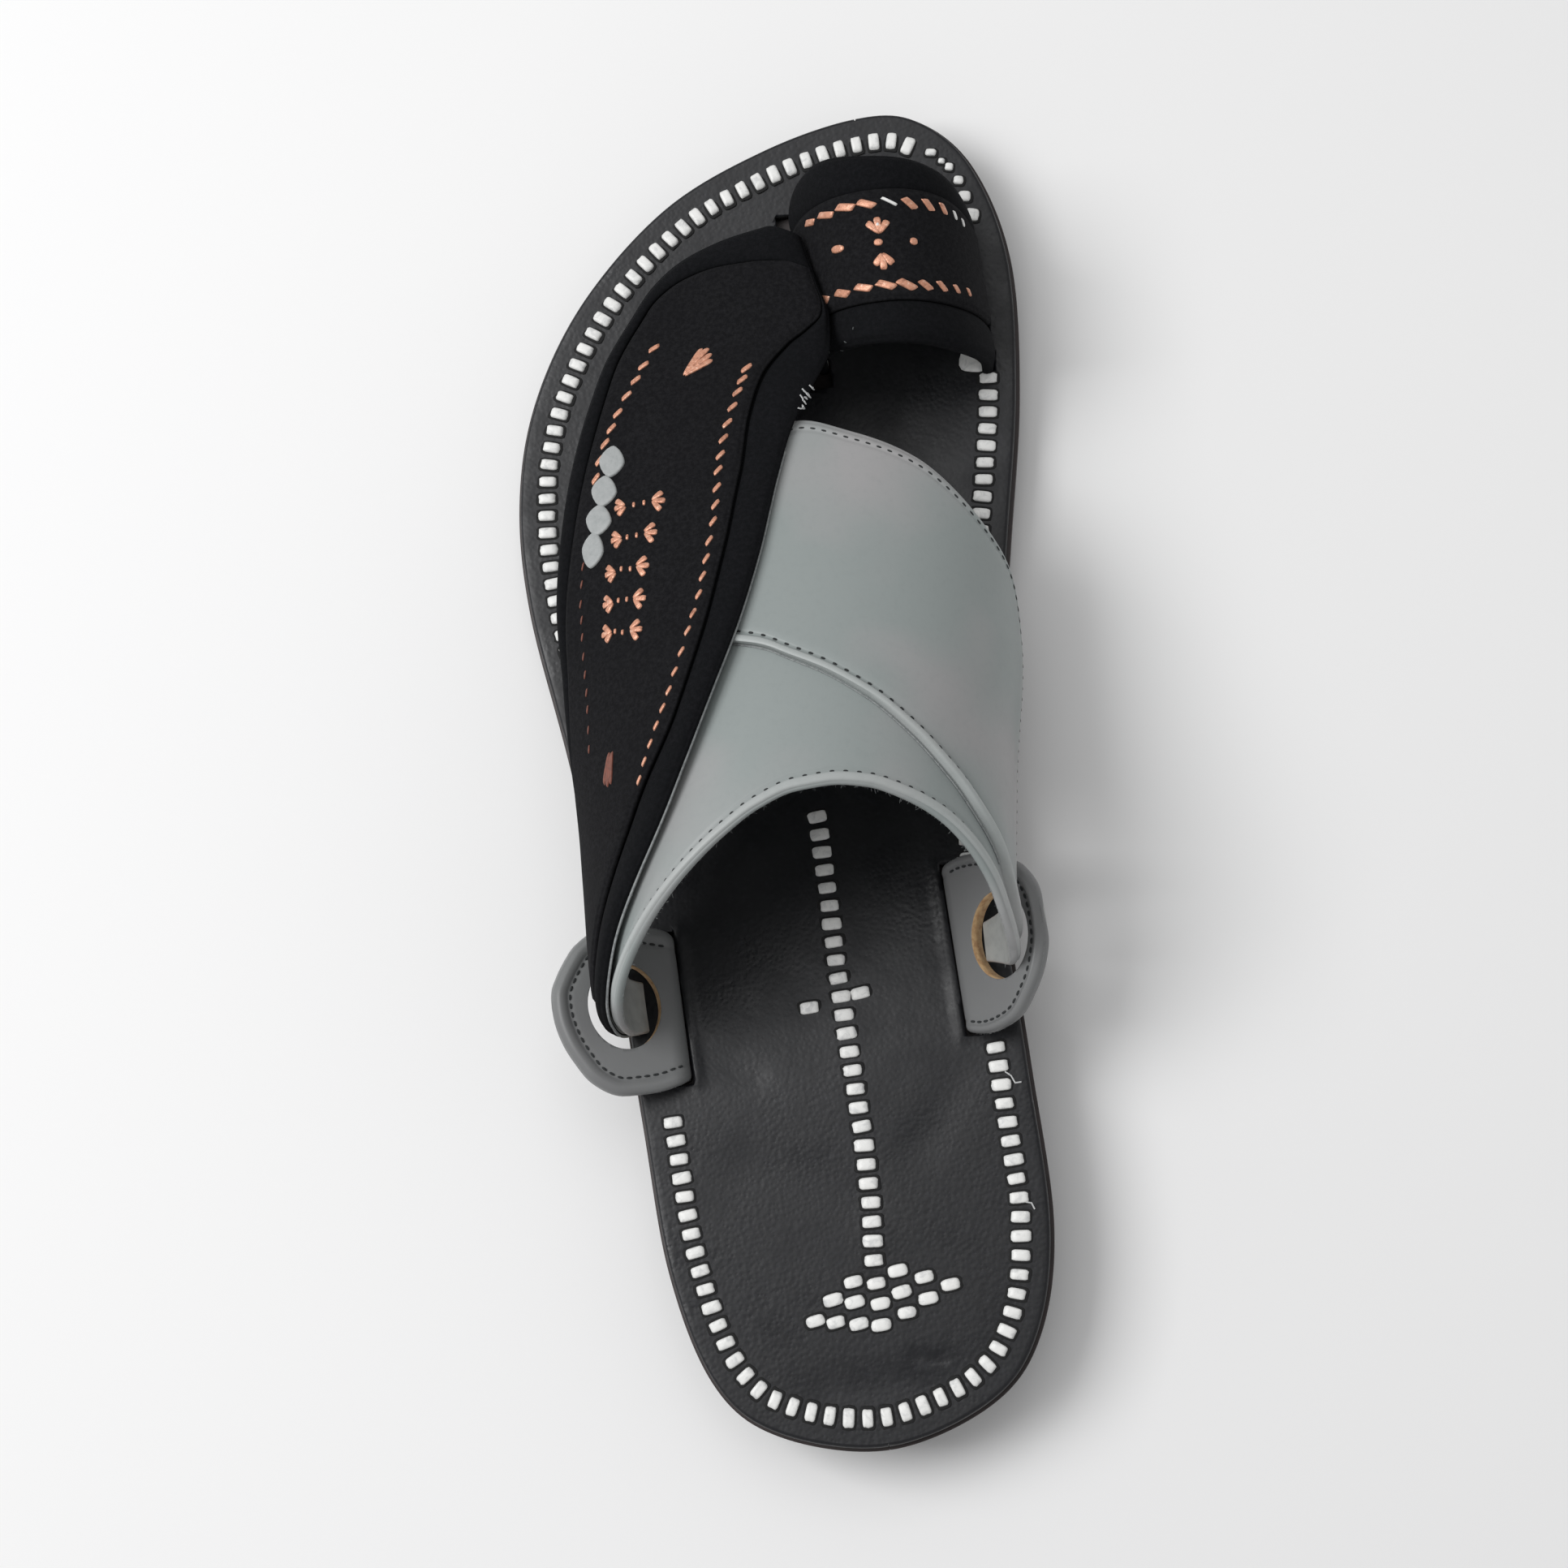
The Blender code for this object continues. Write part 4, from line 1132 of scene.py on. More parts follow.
class Surface:
    """A piece's skin, with the places where the photo's pixels land on it."""

    def __init__(self, piece):
        self.tree = BVHTree.FromObject(piece, bpy.context.evaluated_depsgraph_get())

    def land(self, pixel):
        """The place from the heel's back under a pixel, and the way out of the skin there."""
        eye, way = np.array(CAMERA_PLACE) + SHIFT, sight(pixel)
        hit, out = self.tree.ray_cast(Vector(eye), Vector(way))[:2]
        if hit is None:
            reach = (eye[2] - STRAP_HEIGHT) / -way[2]
            hit, out = self.tree.find_nearest(Vector(eye + way * reach))[:2]
        out = np.array(out)
        return np.array(hit) - SHIFT, out if out @ way < 0 else -out

    def line(self, pixels, steps=6):
        """The line on the skin under a chain of pixels, and the ways out of it."""
        pixels = np.array(pixels)
        at = np.linspace(0, len(pixels) - 1, (len(pixels) - 1) * steps + 1)
        chain = np.stack([np.interp(at, range(len(pixels)), pixels[:, k]) for k in (0, 1)], axis=1)
        landed = [self.land(pixel) for pixel in chain]
        return np.array([place for place, _ in landed]), np.array([out for _, out in landed])


# Lacing and stitches

class Many:
    """Many small shapes joined in one piece."""

    def __init__(self, seed):
        self.points, self.faces, self.count = [], [], 0
        self.dice = random.Random(seed)

    def keep(self, points, faces):
        self.points.append(points)
        self.faces += [[k + self.count for k in face] for face in faces]
        self.count += len(points)

    def show(self, name, finish, slot, sharp=60):
        carry(show(name, np.concatenate(self.points), self.faces, [finish], sharp=sharp), slot)


class Pads(Many):
    """Small domed pads."""

    LEVELS = ((1.0, -0.9), (1.0, 0.15), (0.96, 0.55), (0.86, 0.85), (0.62, 1.0), (0.30, 1.06))
    TURNS = np.linspace(0, 2 * math.pi, 20, endpoint=False)

    def dome(self, place, outline, drop, up, height):
        """A pad over an outline of vectors from its place; drop lowers its rim."""
        rings = []
        for scale, rise in self.LEVELS:
            lift = height * rise - drop * scale**4 * (rise > 0)
            rings.append(place + outline * scale + np.outer(lift, up))
        points = np.concatenate([*rings, [place + up * height * 1.07]])
        count, rows = len(outline), len(self.LEVELS)
        faces = loft_faces(rows, count)[:-1]
        last = (rows - 1) * count
        faces += [[last + i, last + (i + 1) % count, rows * count] for i in range(count)]
        self.keep(points, faces)

    def add(self, place, long, wide, up, size, shear=0.0, square=0.42, taper=0.0):
        """A rounded pad: its long and wide directions, and its size as length, width and height."""
        length, width, height = size
        cos, sin = np.cos(self.TURNS), np.sin(self.TURNS)
        u = np.sign(cos) * np.abs(cos) ** square / 2
        v = np.sign(sin) * np.abs(sin) ** square / 2
        wobble = 1 + 0.05 * np.array([self.dice.uniform(-1, 1) for _ in self.TURNS])
        run = u * length * wobble + shear * v * width
        side = v * width * (1 - taper * u)
        self.dome(place, np.outer(run, long) + np.outer(side, wide), height * 0.35 * (2 * u) ** 4, up, height)

    def chip(self, corners, up, height, point):
        """A lozenge between four corners, given round it; point above 1 draws its corners out."""
        corners = np.array(corners)
        centre = corners.mean(axis=0)
        outline = []
        for turn in self.TURNS:
            u, v = math.cos(turn), math.sin(turn)
            along = corners[0] - centre if u > 0 else centre - corners[2]
            across = corners[1] - centre if v > 0 else centre - corners[3]
            u, v = (math.copysign(abs(value) ** point, value) for value in (u, v))
            outline.append(u * along + v * across)
        self.dome(centre, np.array(outline), np.zeros(len(outline)), up, height)


class Strands(Many):
    """Thin threads and fibres."""

    def add(self, line, radius, taper=0.0, sides=5):
        """A tube along a line, thinner towards its end by the taper."""
        line = np.asarray(line, float)
        ways = np.gradient(line, axis=0)
        ways /= np.linalg.norm(ways, axis=1)[:, None]
        side = np.cross(ways, (0.31, 0.22, 0.93))
        side /= np.linalg.norm(side, axis=1)[:, None]
        other = np.cross(ways, side)
        turns = np.linspace(0, 2 * math.pi, sides, endpoint=False)
        thick = radius * (1 - taper * np.linspace(0, 1, len(line)))
        ring = np.cos(turns)[None, :, None] * side[:, None] + np.sin(turns)[None, :, None] * other[:, None]
        points = line[:, None] + ring * thick[:, None, None]
        self.keep(points.reshape(-1, 3), loft_faces(len(line), sides))

    def fuzz(self, line, outs, sign, count, length, radius=0.05 * MM):
        """Fibres that stand out sideways from a line on a surface."""
        for _ in range(count):
            k = self.dice.uniform(0, len(line) - 1.001)
            i, t = int(k), k - int(k)
            way = unit(line[i + 1] - line[i])
            across = sign * np.cross(outs[i], way)
            go = unit(across + self.dice.uniform(-1, 1) * way + self.dice.uniform(-0.1, 0.5) * outs[i])
            reach = length * self.dice.uniform(0.35, 1.3)
            curl = self.dice.uniform(-0.5, 0.5) * way - self.dice.uniform(0.0, 0.5) * outs[i]
            steps = np.linspace(0, 1, 4)[:, None]
            root = line[i] * (1 - t) + line[i + 1] * t - 0.2 * MM * across
            self.add(root + reach * (go * steps + curl * steps**2), radius, 0.6, sides=3)


LACE_INSET = 6.0 * MM
LACE_PITCH = 3.9 * MM
# Length, width and height of a pad, and by how much its slot is longer and wider
LACE_SIZE = (4.0 * MM, 2.35 * MM, 0.75 * MM)
CENTRE_SIZE = (4.1 * MM, 2.5 * MM, 0.75 * MM)
CROSS_SIZE = (4.0 * MM, 2.5 * MM, 0.7 * MM)
HEEL_SIZE = (4.1 * MM, 2.5 * MM, 0.7 * MM)
TOE_HEIGHT = 0.7 * MM
# Length, width and height of a pad, and by how much the dark sheet under its rim, painted shadow in its slot,
# is longer and wider
SLOT_MARGIN = (1.1 * MM, 0.9 * MM)
SLOT_HEIGHT = 0.14 * MM

# Runs of the perimeter lacing: side of the start and its station, side of the end and its station
LACE_RUNS = (
    ((-1, 0.255), (1, 0.272)),
    ((1, 0.413), (1, 0.780)),
    ((-1, 0.420), (1, 0.968)),
)
CENTRE_ROW = ((4.8, 133.2), (4.7, 116.4), (4.3, 100.9), (4.3, 85.0), (4.5, 65.3), (4.0, 50.0), (2.8, 38.4))
CENTRE_PADS = 25
CROSS_PADS = ((-2.7, 92.4), (8.4, 93.8))
# Squeezed pads at the toe's medial corner and the wide tab below them: photo pixel, length and width in
# millimetres
TOE_PADS = (
    (815.5, 353.0, 2.4, 1.6),
    (825.9, 361.6, 1.6, 1.3),
    (833.3, 367.4, 1.8, 1.7),
    (842.5, 380.6, 2.3, 2.0),
    (848.3, 396.4, 2.9, 2.5),
    (855.7, 414.6, 3.2, 2.9),
    (856.5, 557.0, 5.8, 5.2),
)
HEEL_PADS = (
    (7.4, 35.6), (12.6, 33.5), (17.7, 31.2),
    (-2.1, 34.7), (2.6, 33.7), (7.5, 31.2), (12.7, 29.1),
    (-6.8, 31.7), (-2.4, 30.6), (2.8, 29.5), (7.9, 26.9),
    (-11.0, 28.0), (-6.9, 27.1), (-2.2, 26.1), (2.3, 25.2),
)


def along_line(line, places):
    """Points at places along a line, and the directions there."""
    run = np.concatenate([[0], np.cumsum(np.linalg.norm(np.diff(line, axis=0), axis=1))])
    points = np.stack([np.interp(places, run, line[:, k]) for k in range(line.shape[1])], axis=1)
    ahead = np.stack([np.interp(places + 0.5 * MM, run, line[:, k]) for k in range(line.shape[1])], axis=1)
    behind = np.stack([np.interp(places - 0.5 * MM, run, line[:, k]) for k in range(line.shape[1])], axis=1)
    ways = ahead - behind
    return points, ways / np.linalg.norm(ways, axis=1)[:, None]


def run_between(start, end):
    """The stretch of the perimeter line between two places given by side and station."""
    lateral, medial = rim_sides(600, INSOLE_INSET + LACE_INSET, 0.5)
    (side_a, station_a), (side_b, station_b) = start, end
    if side_a == side_b:
        side = medial if side_a > 0 else lateral
        return side[(side[:, 1] >= station_a * LENGTH) & (side[:, 1] <= station_b * LENGTH)]
    if station_a < 0.3:
        first = lateral[lateral[:, 1] <= station_a * LENGTH][::-1]
        return np.concatenate([first, medial[medial[:, 1] <= station_b * LENGTH]])
    first = lateral[lateral[:, 1] >= station_a * LENGTH]
    return np.concatenate([first, medial[medial[:, 1] >= station_b * LENGTH][::-1]])


def make_lacing(insole):
    pads, slot_shadows = Pads(3), Pads(4)
    up = np.array([0.0, 0.0, 1.0])

    def stitch(x, y, long, size, square=0.42):
        tilt = pads.dice.uniform(-0.06, 0.06)
        long = np.array([long[0] - tilt * long[1], long[1] + tilt * long[0], 0.0])
        wide = np.array([-long[1], long[0], 0.0])
        wave = pads.dice.uniform(0.95, 1.06)
        place = np.array([x, y, footbed(y)])
        slot = (size[0] + SLOT_MARGIN[0], size[1] + SLOT_MARGIN[1], SLOT_HEIGHT)
        # A dark sheet under the pad's rim: painted shadow in its slot
        slot_shadows.add(place, long, wide, up, slot, square=square)
        pads.add(place, long, wide, up, (size[0] * wave, size[1] * wave, size[2]), square=square)

    for start, end in LACE_RUNS:
        line = run_between(start, end)
        length = np.linalg.norm(np.diff(line, axis=0), axis=1).sum()
        count = round(length / LACE_PITCH) + 1
        points, ways = along_line(line, np.linspace(0, length, count))
        for (x, y), way in zip(points, ways):
            stitch(x, y, (way[1], -way[0]), LACE_SIZE)
    line = np.array(CENTRE_ROW) * MM
    length = np.linalg.norm(np.diff(line, axis=0), axis=1).sum()
    points, ways = along_line(line, np.linspace(0, length, CENTRE_PADS))
    for (x, y), way in zip(points, ways):
        stitch(x, y, (way[1], -way[0]), CENTRE_SIZE)
    for x, y in CROSS_PADS:
        stitch(x * MM, y * MM, (1.0, 0.06), CROSS_SIZE)
    for x, y in HEEL_PADS:
        stitch(x * MM, y * MM, (0.99, 0.09), HEEL_SIZE, square=0.6)
    for x, y, long, wide in TOE_PADS:
        place, _ = insole.land((x, y))
        stitch(place[0], place[1], (0.96, -0.25), (long * MM, wide * MM, TOE_HEIGHT), square=0.55)
    slot_shadows.show("lacing_slot_shadows", PAINTED_SLOT_SHADOW, "black_leather")
    pads.show("white_lacing", WHITE_LEATHER, "white_thong")


def mark(pads, surface, pixel, tilt, size, height, square=0.6, shear=0.0, taper=0.0):
    """A pad where the photo shows it: the tilt of its long side in degrees down from the picture's right,
    and its length and width in the photo's pixels."""
    pixel = np.array(pixel)
    run = np.array([math.cos(math.radians(tilt)), math.sin(math.radians(tilt))])
    place, out = surface.land(pixel)
    depth = (place - np.array(CAMERA_PLACE)) @ photo_axes()[2]
    right, up, _ = photo_axes()
    long = run[0] * right - run[1] * up
    across = run[1] * right + run[0] * up
    long, across = (way - out * (way @ out) for way in (long, across))
    stretch = min(1.5, 1 / max(0.4, np.linalg.norm(long)))
    long = unit(long)
    wide = unit(across - long * (across @ long))
    length, width = (value * depth / PHOTO_FOCAL for value in size)
    pads.add(place, long, wide, out, (length * stretch, width, height), shear, square, taper)


# Leaf strap's decorations: pixels of the photo
LEAF_RIGHT_ROW = (
    (633.9, 561.4), (629.6, 572.5), (625, 584.6), (620, 599.3), (615, 615.3), (611, 630.6), (608, 646.7),
    (605.8, 661.5), (604.5, 678.6), (603, 695.4), (600.7, 712), (596.8, 730.9), (593.8, 748.7), (590.2, 766),
    (586.4, 783.9), (580.8, 802.3), (575.4, 819.6), (569, 840.3), (562.4, 860), (556.5, 878.8), (550.4, 896),
    (544, 913.3), (537.9, 931.4), (532, 949), (526.9, 967.3),
)
LEAF_LEFT_ROW = (
    (541.8, 540.7), (531.4, 557.5), (523.6, 571.8), (514.6, 587.1), (505.7, 604.3), (499.3, 619.3),
    (492.9, 634.3), (487.4, 651), (483.6, 668.9),
)
LEAF_LOW_ROW = (
    (470.8, 755.6), (469.5, 773.5), (468.5, 793.1), (469.5, 808.7), (470.1, 825.8), (471.3, 844.9),
    (472.9, 862.8), (474.4, 880.6), (475.4, 897.2), (476.2, 917.6), (476.9, 936.7),
)
LEAF_SCALES = ((500.2, 652.3), (492.5, 681.6), (487.1, 710.2), (481.3, 739.8))
LEAF_RIGHT_FANS = ((544.8, 690.6), (537.1, 721.9), (529, 754.8), (525.7, 787), (522.3, 817.6))
LEAF_LEFT_FANS = ((509.1, 696.4), (505.5, 728.3), (499.6, 762), (497.3, 792.1), (496.1, 821.4))
LEAF_DOTS = (
    (521.8, 694.9), (532, 692.9), (515.2, 726.8), (524.6, 725), (518.3, 758.2), (509.3, 758.2),
    (514.9, 788.3), (506.5, 789.3), (510.6, 820.9), (503.2, 819.9),
)
TOP_FAN = (573.4, 569.0)
TOP_FAN_TIPS = ((587.8, 539.6), (594.2, 538.5), (597.5, 545), (599.3, 551.4))
LOW_FAN = (497.0, 939.0)
LOW_FAN_TIPS = ((492.5, 972), (497.0, 974), (501.5, 971))

# Toe loop's decorations: pixel, length and width in pixels, tilt
LOOP_FRONT_ROW = (
    (696.5, 419.3, 12, 7, 0), (712, 412.2, 16, 7, 5), (731.2, 404.9, 18, 8, 8),
    (752.1, 401.9, 18, 7.5, 18), (774.5, 399.7, 17, 3, 25), (794.6, 402, 16, 7.5, 35),
    (813.1, 404.2, 14, 7.5, 42), (827.6, 408, 12, 6, 50), (838.9, 414.6, 9, 3, 58), (846.6, 422, 8, 2.5, 64),
)
LOOP_REAR_ROW = (
    (700.2, 504.2, 7, 5, 0), (711, 495.1, 11, 8, 5), (728.4, 489.3, 15, 8, 10),
    (749.1, 484, 17, 7.5, 12), (771.5, 481.5, 19, 7.5, 18), (791.9, 481.5, 19, 8, 25),
    (810.7, 482.6, 14, 7, 30), (826.7, 484, 12, 6, 35), (840.8, 486.8, 9, 5, 40), (852.5, 490.1, 8, 4, 50),
)
LOOP_UPPER_FAN = (765.4, 431.2)
LOOP_UPPER_TIPS = ((752.4, 419.6), (762, 414.6), (772.8, 418))
LOOP_LOWER_FAN = (767.9, 450.3)
LOOP_LOWER_TIPS = ((761.2, 462.7), (769.9, 466.9), (778.6, 461.1))
LOOP_DOTS = ((723.9, 445.8, 13, 8), (764, 439.7, 9, 7), (798.7, 439.5, 7.5, 7.5))
LINT = (
    (706, 447), (714.8, 466), (794, 463.9), (739.3, 523.8), (750.8, 475.5), (702.3, 565), (715.6, 546.8),
    (728, 545.3),
)


def petal(pads, surface, base, tip, width, height=0.35 * MM):
    """A leaf-shaped stitch from a fan's base to a petal's tip."""
    base, tip = np.array(base), np.array(tip)
    way = tip - base
    tilt = math.degrees(math.atan2(way[1], way[0]))
    mark(pads, surface, (base + tip) / 2, tilt, (np.hypot(*way), width), height, square=0.6, taper=-0.7)


def fan(pads, surface, base, facing, reach, spread_by):
    """Three petals that open from a base; facing is the middle one's turn in degrees down from the right."""
    for turn in (-spread_by, 0, spread_by):
        angle = math.radians(facing + turn)
        tip = np.array(base) + reach * np.array([math.cos(angle), math.sin(angle)])
        petal(pads, surface, base, tip, 5.6)


def make_leaf_stitches(leaf, panel):
    copper, dim, scales = Pads(5), Pads(6), Pads(7)
    for i, pixel in enumerate(LEAF_RIGHT_ROW):
        share = i / (len(LEAF_RIGHT_ROW) - 1)
        size = (13 - 2.5 * share, 5.2 - 2.0 * share)
        mark(copper, panel, pixel, -42 - 24 * min(1, 2 * share), size, 0.3 * MM, square=0.55, shear=0.45)
    for i, pixel in enumerate(LEAF_LEFT_ROW):
        tilt = -33 - 25 * i / (len(LEAF_LEFT_ROW) - 1)
        mark(copper, panel, pixel, tilt, (13, 5.0), 0.3 * MM, square=0.55, shear=0.45)
    for pixel in LEAF_LOW_ROW:
        mark(dim, panel, pixel, -88, (9.0, 2.0), 0.2 * MM, square=0.9)
    for base in LEAF_RIGHT_FANS:
        fan(copper, panel, np.array(base) - (5, 0), 5, 13.5, 44)
    for base in LEAF_LEFT_FANS:
        fan(copper, panel, np.array(base) + (4, 0), 170, 11.5, 44)
    for tip in TOP_FAN_TIPS:
        petal(copper, panel, TOP_FAN, tip, 5.0)
    for tip in LOW_FAN_TIPS:
        petal(dim, panel, LOW_FAN, tip, 4.5)
    for pixel in LEAF_DOTS:
        mark(copper, panel, pixel, 80, (5.5, 3.0), 0.3 * MM)
    for i, pixel in enumerate(LEAF_SCALES):
        half, rise = (12.5, 15.5) if i < 3 else (10.5, 18.0)
        x, y = pixel
        corners = ((x + 2, y - rise), (x + half, y + 1), (x - 3, y + rise), (x - half, y - 1))
        landed = [panel.land(corner) for corner in corners]
        out = panel.land(pixel)[1]
        lift = 0.25 * MM * out
        scales.chip([place + lift for place, _ in landed], out, 0.4 * MM, 1.3)
    copper.show("copper_stitches", COPPER_FOIL, "copper_thong")
    dim.show("dark_copper_stitches", DARK_COPPER, "copper_thong")
    scales.show("grey_scales", SCALE_LEATHER, "grey_leather")


def make_loop_stitches(loop, band):
    copper, white, lint = Pads(8), Pads(9), Pads(10)
    for x, y, long, wide, tilt in (*LOOP_FRONT_ROW, *LOOP_REAR_ROW):
        thin = wide <= 3
        mark(white if thin else copper, band, (x, y), tilt, (long, wide), 0.35 * MM, square=0.3, shear=0.5)
    for base, tips in ((LOOP_UPPER_FAN, LOOP_UPPER_TIPS), (LOOP_LOWER_FAN, LOOP_LOWER_TIPS)):
        for tip in tips:
            petal(copper, band, base, tip, 6.4)
    for x, y, long, wide in LOOP_DOTS:
        mark(copper, band, (x, y), 0, (long, wide), 0.35 * MM, square=0.9)
    mark(white, band, (763.4, 422.4), 0, (4.0, 4.0), 0.4 * MM, square=0.9)
    for pixel in LINT:
        turn = lint.dice.uniform(0, 180)
        mark(lint, loop, pixel, turn, (3.0, 1.2), 0.15 * MM, square=1.0)
    copper.show("loop_copper_stitches", COPPER_FOIL, "copper_thong")
    white.show("loop_white_stitches", WHITE_LEATHER, "white_thong")
    lint.show("lint", GREY_THREAD, "black_suede")


def edge_line(place, rows, lift, distance, share_at=None, far=False):
    """A line along a strap at a distance from its near or far edge or a share, and the ways out of it."""
    points, outs = [], []
    for row in rows:
        shares, run = rib(place, row)
        start = np.interp(share_at(row), shares, run) if share_at else 0.0
        at = run[-1] - distance if far else start + distance
        share = np.array([np.interp(at, run, shares)])
        height = lift(row) if callable(lift) else lift
        point = place(row, share, np.array([height]))[0]
        outs.append(unit(place(row, share, np.array([height + MM]))[0] - point))
        points.append(point)
    return np.array(points), np.array(outs)


def seam(pads, line, outs, pitch, size):
    """Stitches along a line on a surface, end to end."""
    length = np.linalg.norm(np.diff(line, axis=0), axis=1).sum()
    places = np.arange(pitch / 2, length, pitch)
    points, ways = along_line(line, places)
    for point, way in zip(points, ways):
        out = outs[np.linalg.norm(line - point, axis=1).argmin()]
        long = unit(way - out * (way @ out))
        pads.add(point, long, np.cross(out, long), out, size, square=0.9)


def saddle_front_height(row):
    return WALL + LAP * by_row(SADDLE, 5, row) - 0.1 * MM


# Pitch of the stitches of each seam, and their length, width and height
SADDLE_PITCH, SADDLE_STITCH = 2.7 * MM, (1.0 * MM, 0.5 * MM, 0.15 * MM)
FRONT_PITCH, FRONT_STITCH = 2.4 * MM, (1.3 * MM, 0.4 * MM, 0.12 * MM)
EAR_PITCH, EAR_STITCH = 1.9 * MM, (1.3 * MM, 0.5 * MM, 0.25 * MM)


def make_seams():
    """Seams of the saddle and the ears, and the raw edges with their fibres."""
    ears, dark, raw = Pads(11), Pads(12), Strands(13)
    rows = np.linspace(0.6, len(SADDLE) - 1.6, 240)
    line, outs = edge_line(saddle_place, rows, WALL - 0.1 * MM, SADDLE_SEAM)
    seam(dark, line, outs, SADDLE_PITCH, SADDLE_STITCH)
    lap = np.linspace(4.0, len(SADDLE) - 5.0, 220)
    line, outs = edge_line(saddle_place, lap, WALL + LAP - 0.1 * MM, SADDLE_SEAM, lap_share)
    seam(dark, line, outs, SADDLE_PITCH, SADDLE_STITCH)
    line, outs = edge_line(saddle_place, lap, WALL + 0.2 * MM, -0.3 * MM, lap_share)
    raw.add(line, 0.16 * MM)
    for side in (1, -1):
        raw.fuzz(line, outs, side, 260, 0.5 * MM, 0.035 * MM)
    line, outs = edge_line(saddle_place, rows, 0.2 * MM, 0.3 * MM)
    for side in (1, -1):
        raw.fuzz(line, outs, side, 200, 0.9 * MM, 0.04 * MM)
    line, outs = edge_line(saddle_place, rows, saddle_front_height, FRONT_SEAM, far=True)
    seam(dark, line, outs, FRONT_PITCH, FRONT_STITCH)
    line, outs = edge_line(leaf_place, np.linspace(0.4, 12.5, 260), 0.35 * MM, -0.1 * MM, far=True)
    raw.add(line, 0.3 * MM)
    for side in (1, -1):
        raw.fuzz(line, outs, side, 420, 0.6 * MM, 0.04 * MM)
    for name in EARS:
        line, outs = ear_seam(name)
        seam(ears, line, outs, EAR_PITCH, EAR_STITCH)
        line, outs = ear_edge(name)
        raw.fuzz(line, outs, 1, 220, 0.35 * MM, 0.03 * MM)
    ears.show("ear_stitches", DARK_THREAD, "ear_leather")
    dark.show("saddle_stitches", DARK_THREAD, "grey_leather")
    raw.show("raw_edges", RAW_EDGE, "grey_leather")


def ear_seam(name):
    """The ear's seam line inside its free edge."""
    outline = ear_outline(name)
    ways = np.gradient(outline, axis=0)
    ways /= np.maximum(1e-9, np.linalg.norm(ways, axis=1))[:, None]
    inset = outline + EAR_SEAMS[name] * np.column_stack([-ways[:, 1], ways[:, 0]])
    middle = outline.mean(axis=0)
    if np.linalg.norm(inset - middle, axis=1).mean() > np.linalg.norm(outline - middle, axis=1).mean():
        inset = outline - EAR_SEAMS[name] * np.column_stack([-ways[:, 1], ways[:, 0]])
    clear = [np.hypot(*(outline - spot).T).min() for spot in inset]
    kept = [spot for spot, free in zip(inset, clear) if spot[0] > 2 * MM and free > 0.97 * EAR_SEAMS[name]]
    return ear_line(name, kept[::6], EAR_WALL - 0.05 * MM)


def ear_edge(name):
    return ear_line(name, [spot for spot in ear_outline(name) if spot[0] > 2 * MM][::12], EAR_WALL * 0.6)


def ear_line(name, spots, lift):
    points = np.array([ear_spot(name, run, y, lift) for run, y in spots])
    tops = np.array([ear_spot(name, run, y, lift + MM) for run, y in spots])
    return points, (tops - points) / MM


# Loose threads: chains of pixels on the piece that carries them
LEAF_TUFT = (
    ((688, 584), (693, 590), (699, 589), (704, 596)),
    ((690, 592), (696, 598), (701, 606)),
    ((687, 600), (693, 604), (697, 612)),
    ((694, 580), (699, 584), (706, 583)),
    ((686, 590), (690, 598), (698, 601), (706, 600)),
    ((689, 586), (697, 592), (706, 590)),
    ((691, 604), (699, 600), (703, 592)),
    ((684, 603), (690, 600), (695, 607), (702, 610)),
    ((697, 582), (703, 592), (704, 603), (699, 611)),
)
FOOTBED_THREADS = (
    ((888, 1252), (894, 1256), (898, 1263), (904, 1262)),
    ((904, 1374), (908, 1379), (914, 1380), (917, 1386)),
)


def make_threads(insole, leaf):
    threads = Strands(15)
    for surface, chains, lift in ((leaf, LEAF_TUFT, 0.8 * MM), (insole, FOOTBED_THREADS, 0.3 * MM)):
        for chain in chains:
            line, outs = surface.line(chain)
            threads.add(line + outs * lift, 0.16 * MM)
    threads.show("loose_threads", WHITE_THREAD, "white_thong")


# Camera and light

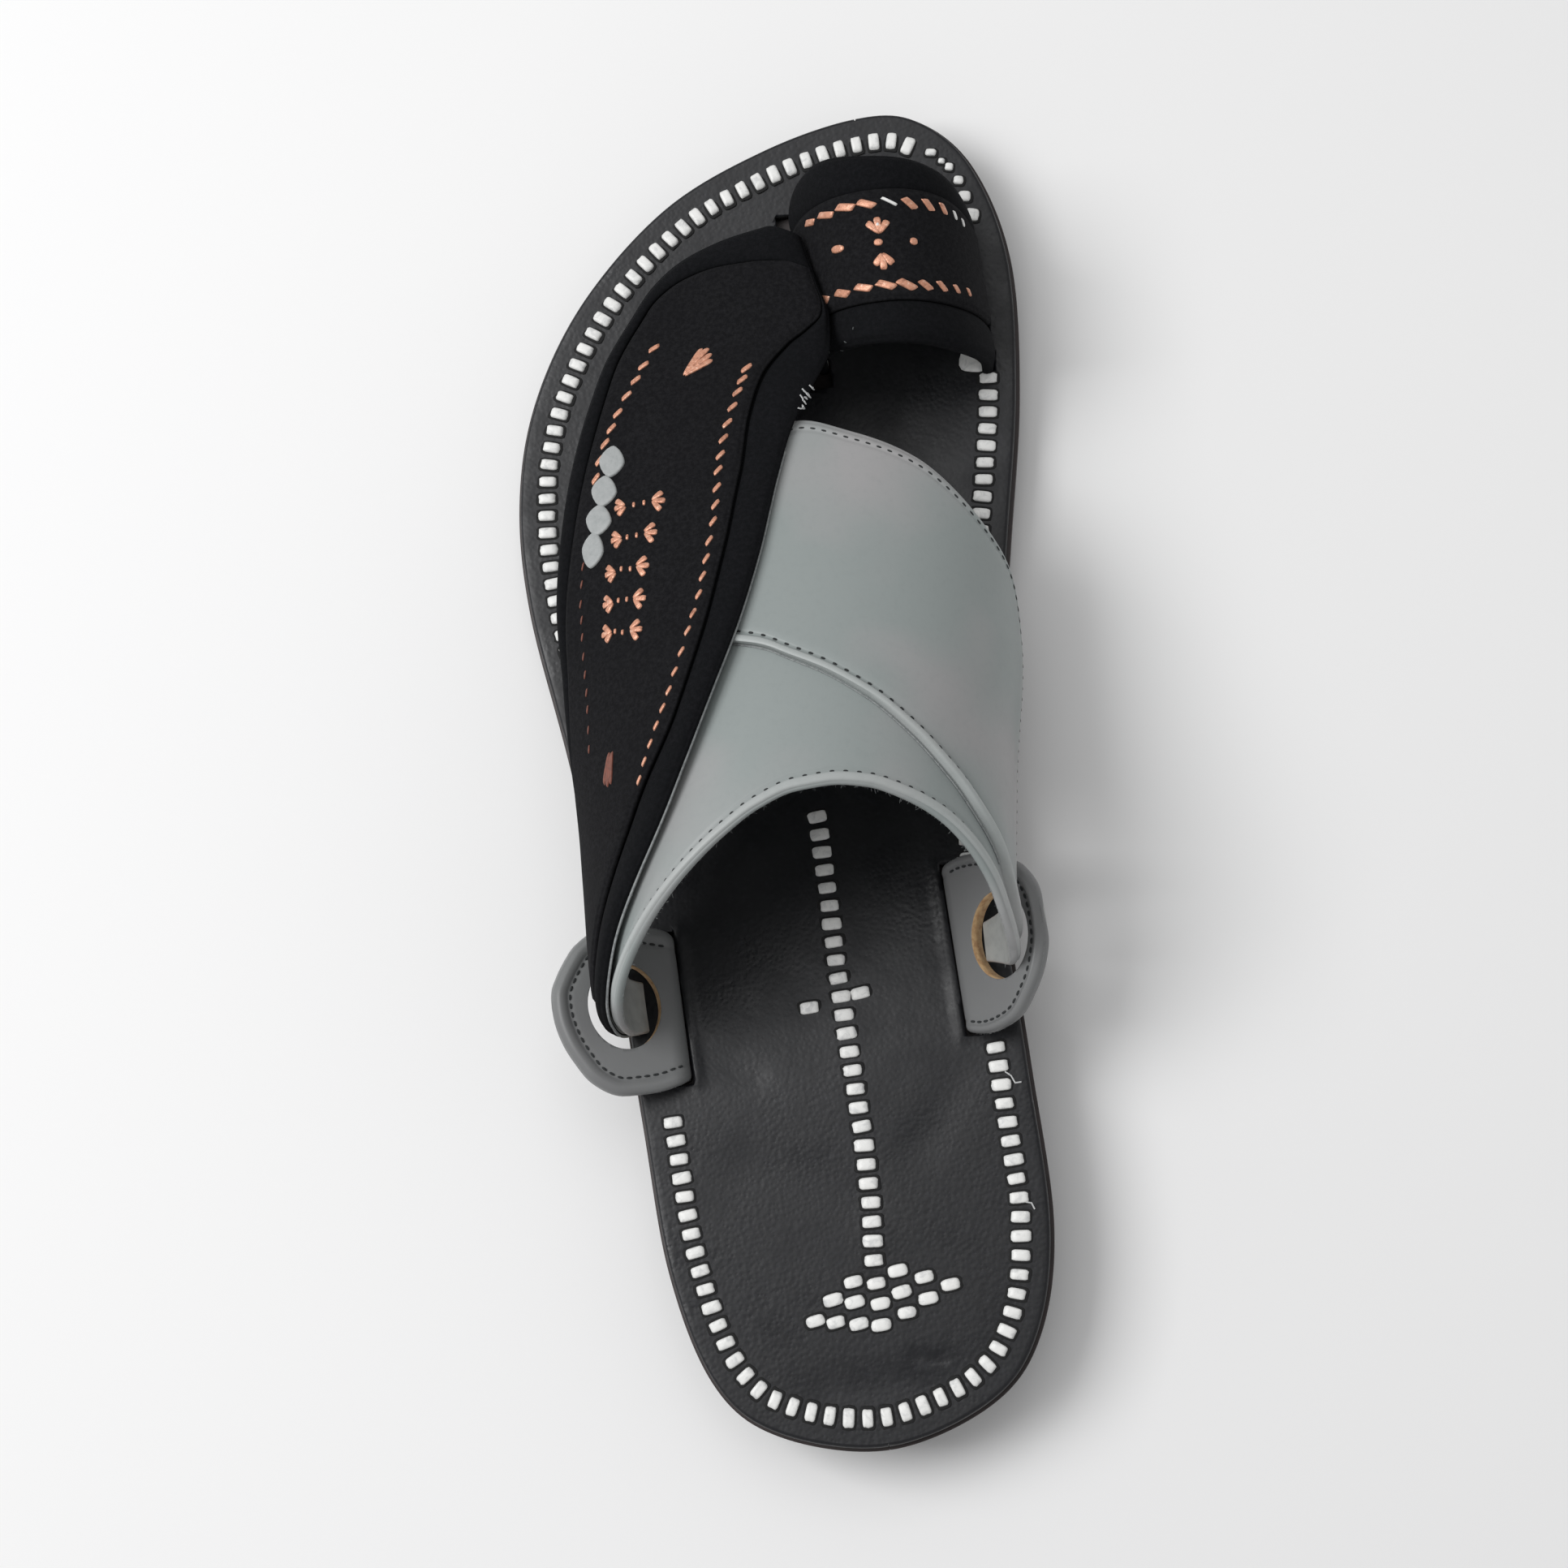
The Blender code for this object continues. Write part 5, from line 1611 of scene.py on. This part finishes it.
def make_camera():
    """The photo's camera, turned on its own place to look at the middle of the one sandal."""
    right, up, forward = (Vector(axis) for axis in photo_axes())
    turn = forward.rotation_difference(Vector(sight(SHOE_MIDDLE)))
    right, up, forward = turn @ right, turn @ up, turn @ forward
    data = bpy.data.cameras.new("camera")
    data.lens = LENS
    camera = bpy.data.objects.new("camera", data)
    axes = Matrix((right, up, -forward)).transposed().to_4x4()
    camera.matrix_world = Matrix.Translation(Vector(np.array(CAMERA_PLACE) + SHIFT)) @ axes
    bpy.context.scene.collection.objects.link(camera)
    bpy.context.scene.camera = camera


FLOOR_REACH = 3.0
WORLD_LIGHT = 0.41


def area_light(name, place, size, power, target=(0, 0, 0.02)):
    data = bpy.data.lights.new(name, "AREA")
    data.shape = "RECTANGLE"
    data.size, data.size_y = size
    data.energy = power
    light = bpy.data.objects.new(name, data)
    light.location = place
    light.rotation_euler = (Vector(target) - Vector(place)).to_track_quat("-Z", "Y").to_euler()
    bpy.context.scene.collection.objects.link(light)


def make_stage():
    mesh = bpy.data.meshes.new("floor")
    reach = FLOOR_REACH
    corners = [(-reach, -reach, 0), (reach, -reach, 0), (reach, reach, 0), (-reach, reach, 0)]
    mesh.from_pydata(corners, [], [(0, 1, 2, 3)])
    floor = bpy.data.objects.new("floor", mesh)
    paper = Finish("pale_paper", (243, 243, 243), 0.9)
    paper.tint(paper.ramp(paper.noise(0.4, 2), 0.3, 0.7, 0, 0.4), (240, 240, 241))
    mesh.materials.append(paper.material)
    bpy.context.scene.collection.objects.link(floor)
    world = bpy.data.worlds.new("studio")
    world.use_nodes = True
    world.node_tree.nodes["Background"].inputs["Color"].default_value = (1.0, 1.0, 1.0, 1.0)
    world.node_tree.nodes["Background"].inputs["Strength"].default_value = WORLD_LIGHT
    bpy.context.scene.world = world
    bpy.context.scene.view_settings.view_transform = "Standard"
    area_light("key", (-0.75, 0.25, 1.05), (0.7, 0.7), 10.6)
    area_light("top", (0.0, 0.6, 1.5), (1.2, 1.0), 3.7)


def main():
    make_camera()
    make_stage()
    insole = Surface(make_sole())
    make_saddle()
    leaf, panel = (Surface(piece) for piece in make_leaf())
    loop, band = (Surface(piece) for piece in make_loop())
    for name in EARS:
        make_ear(name)
    make_lacing(insole)
    make_leaf_stitches(leaf, panel)
    make_loop_stitches(loop, band)
    make_seams()
    make_threads(insole, leaf)


main()
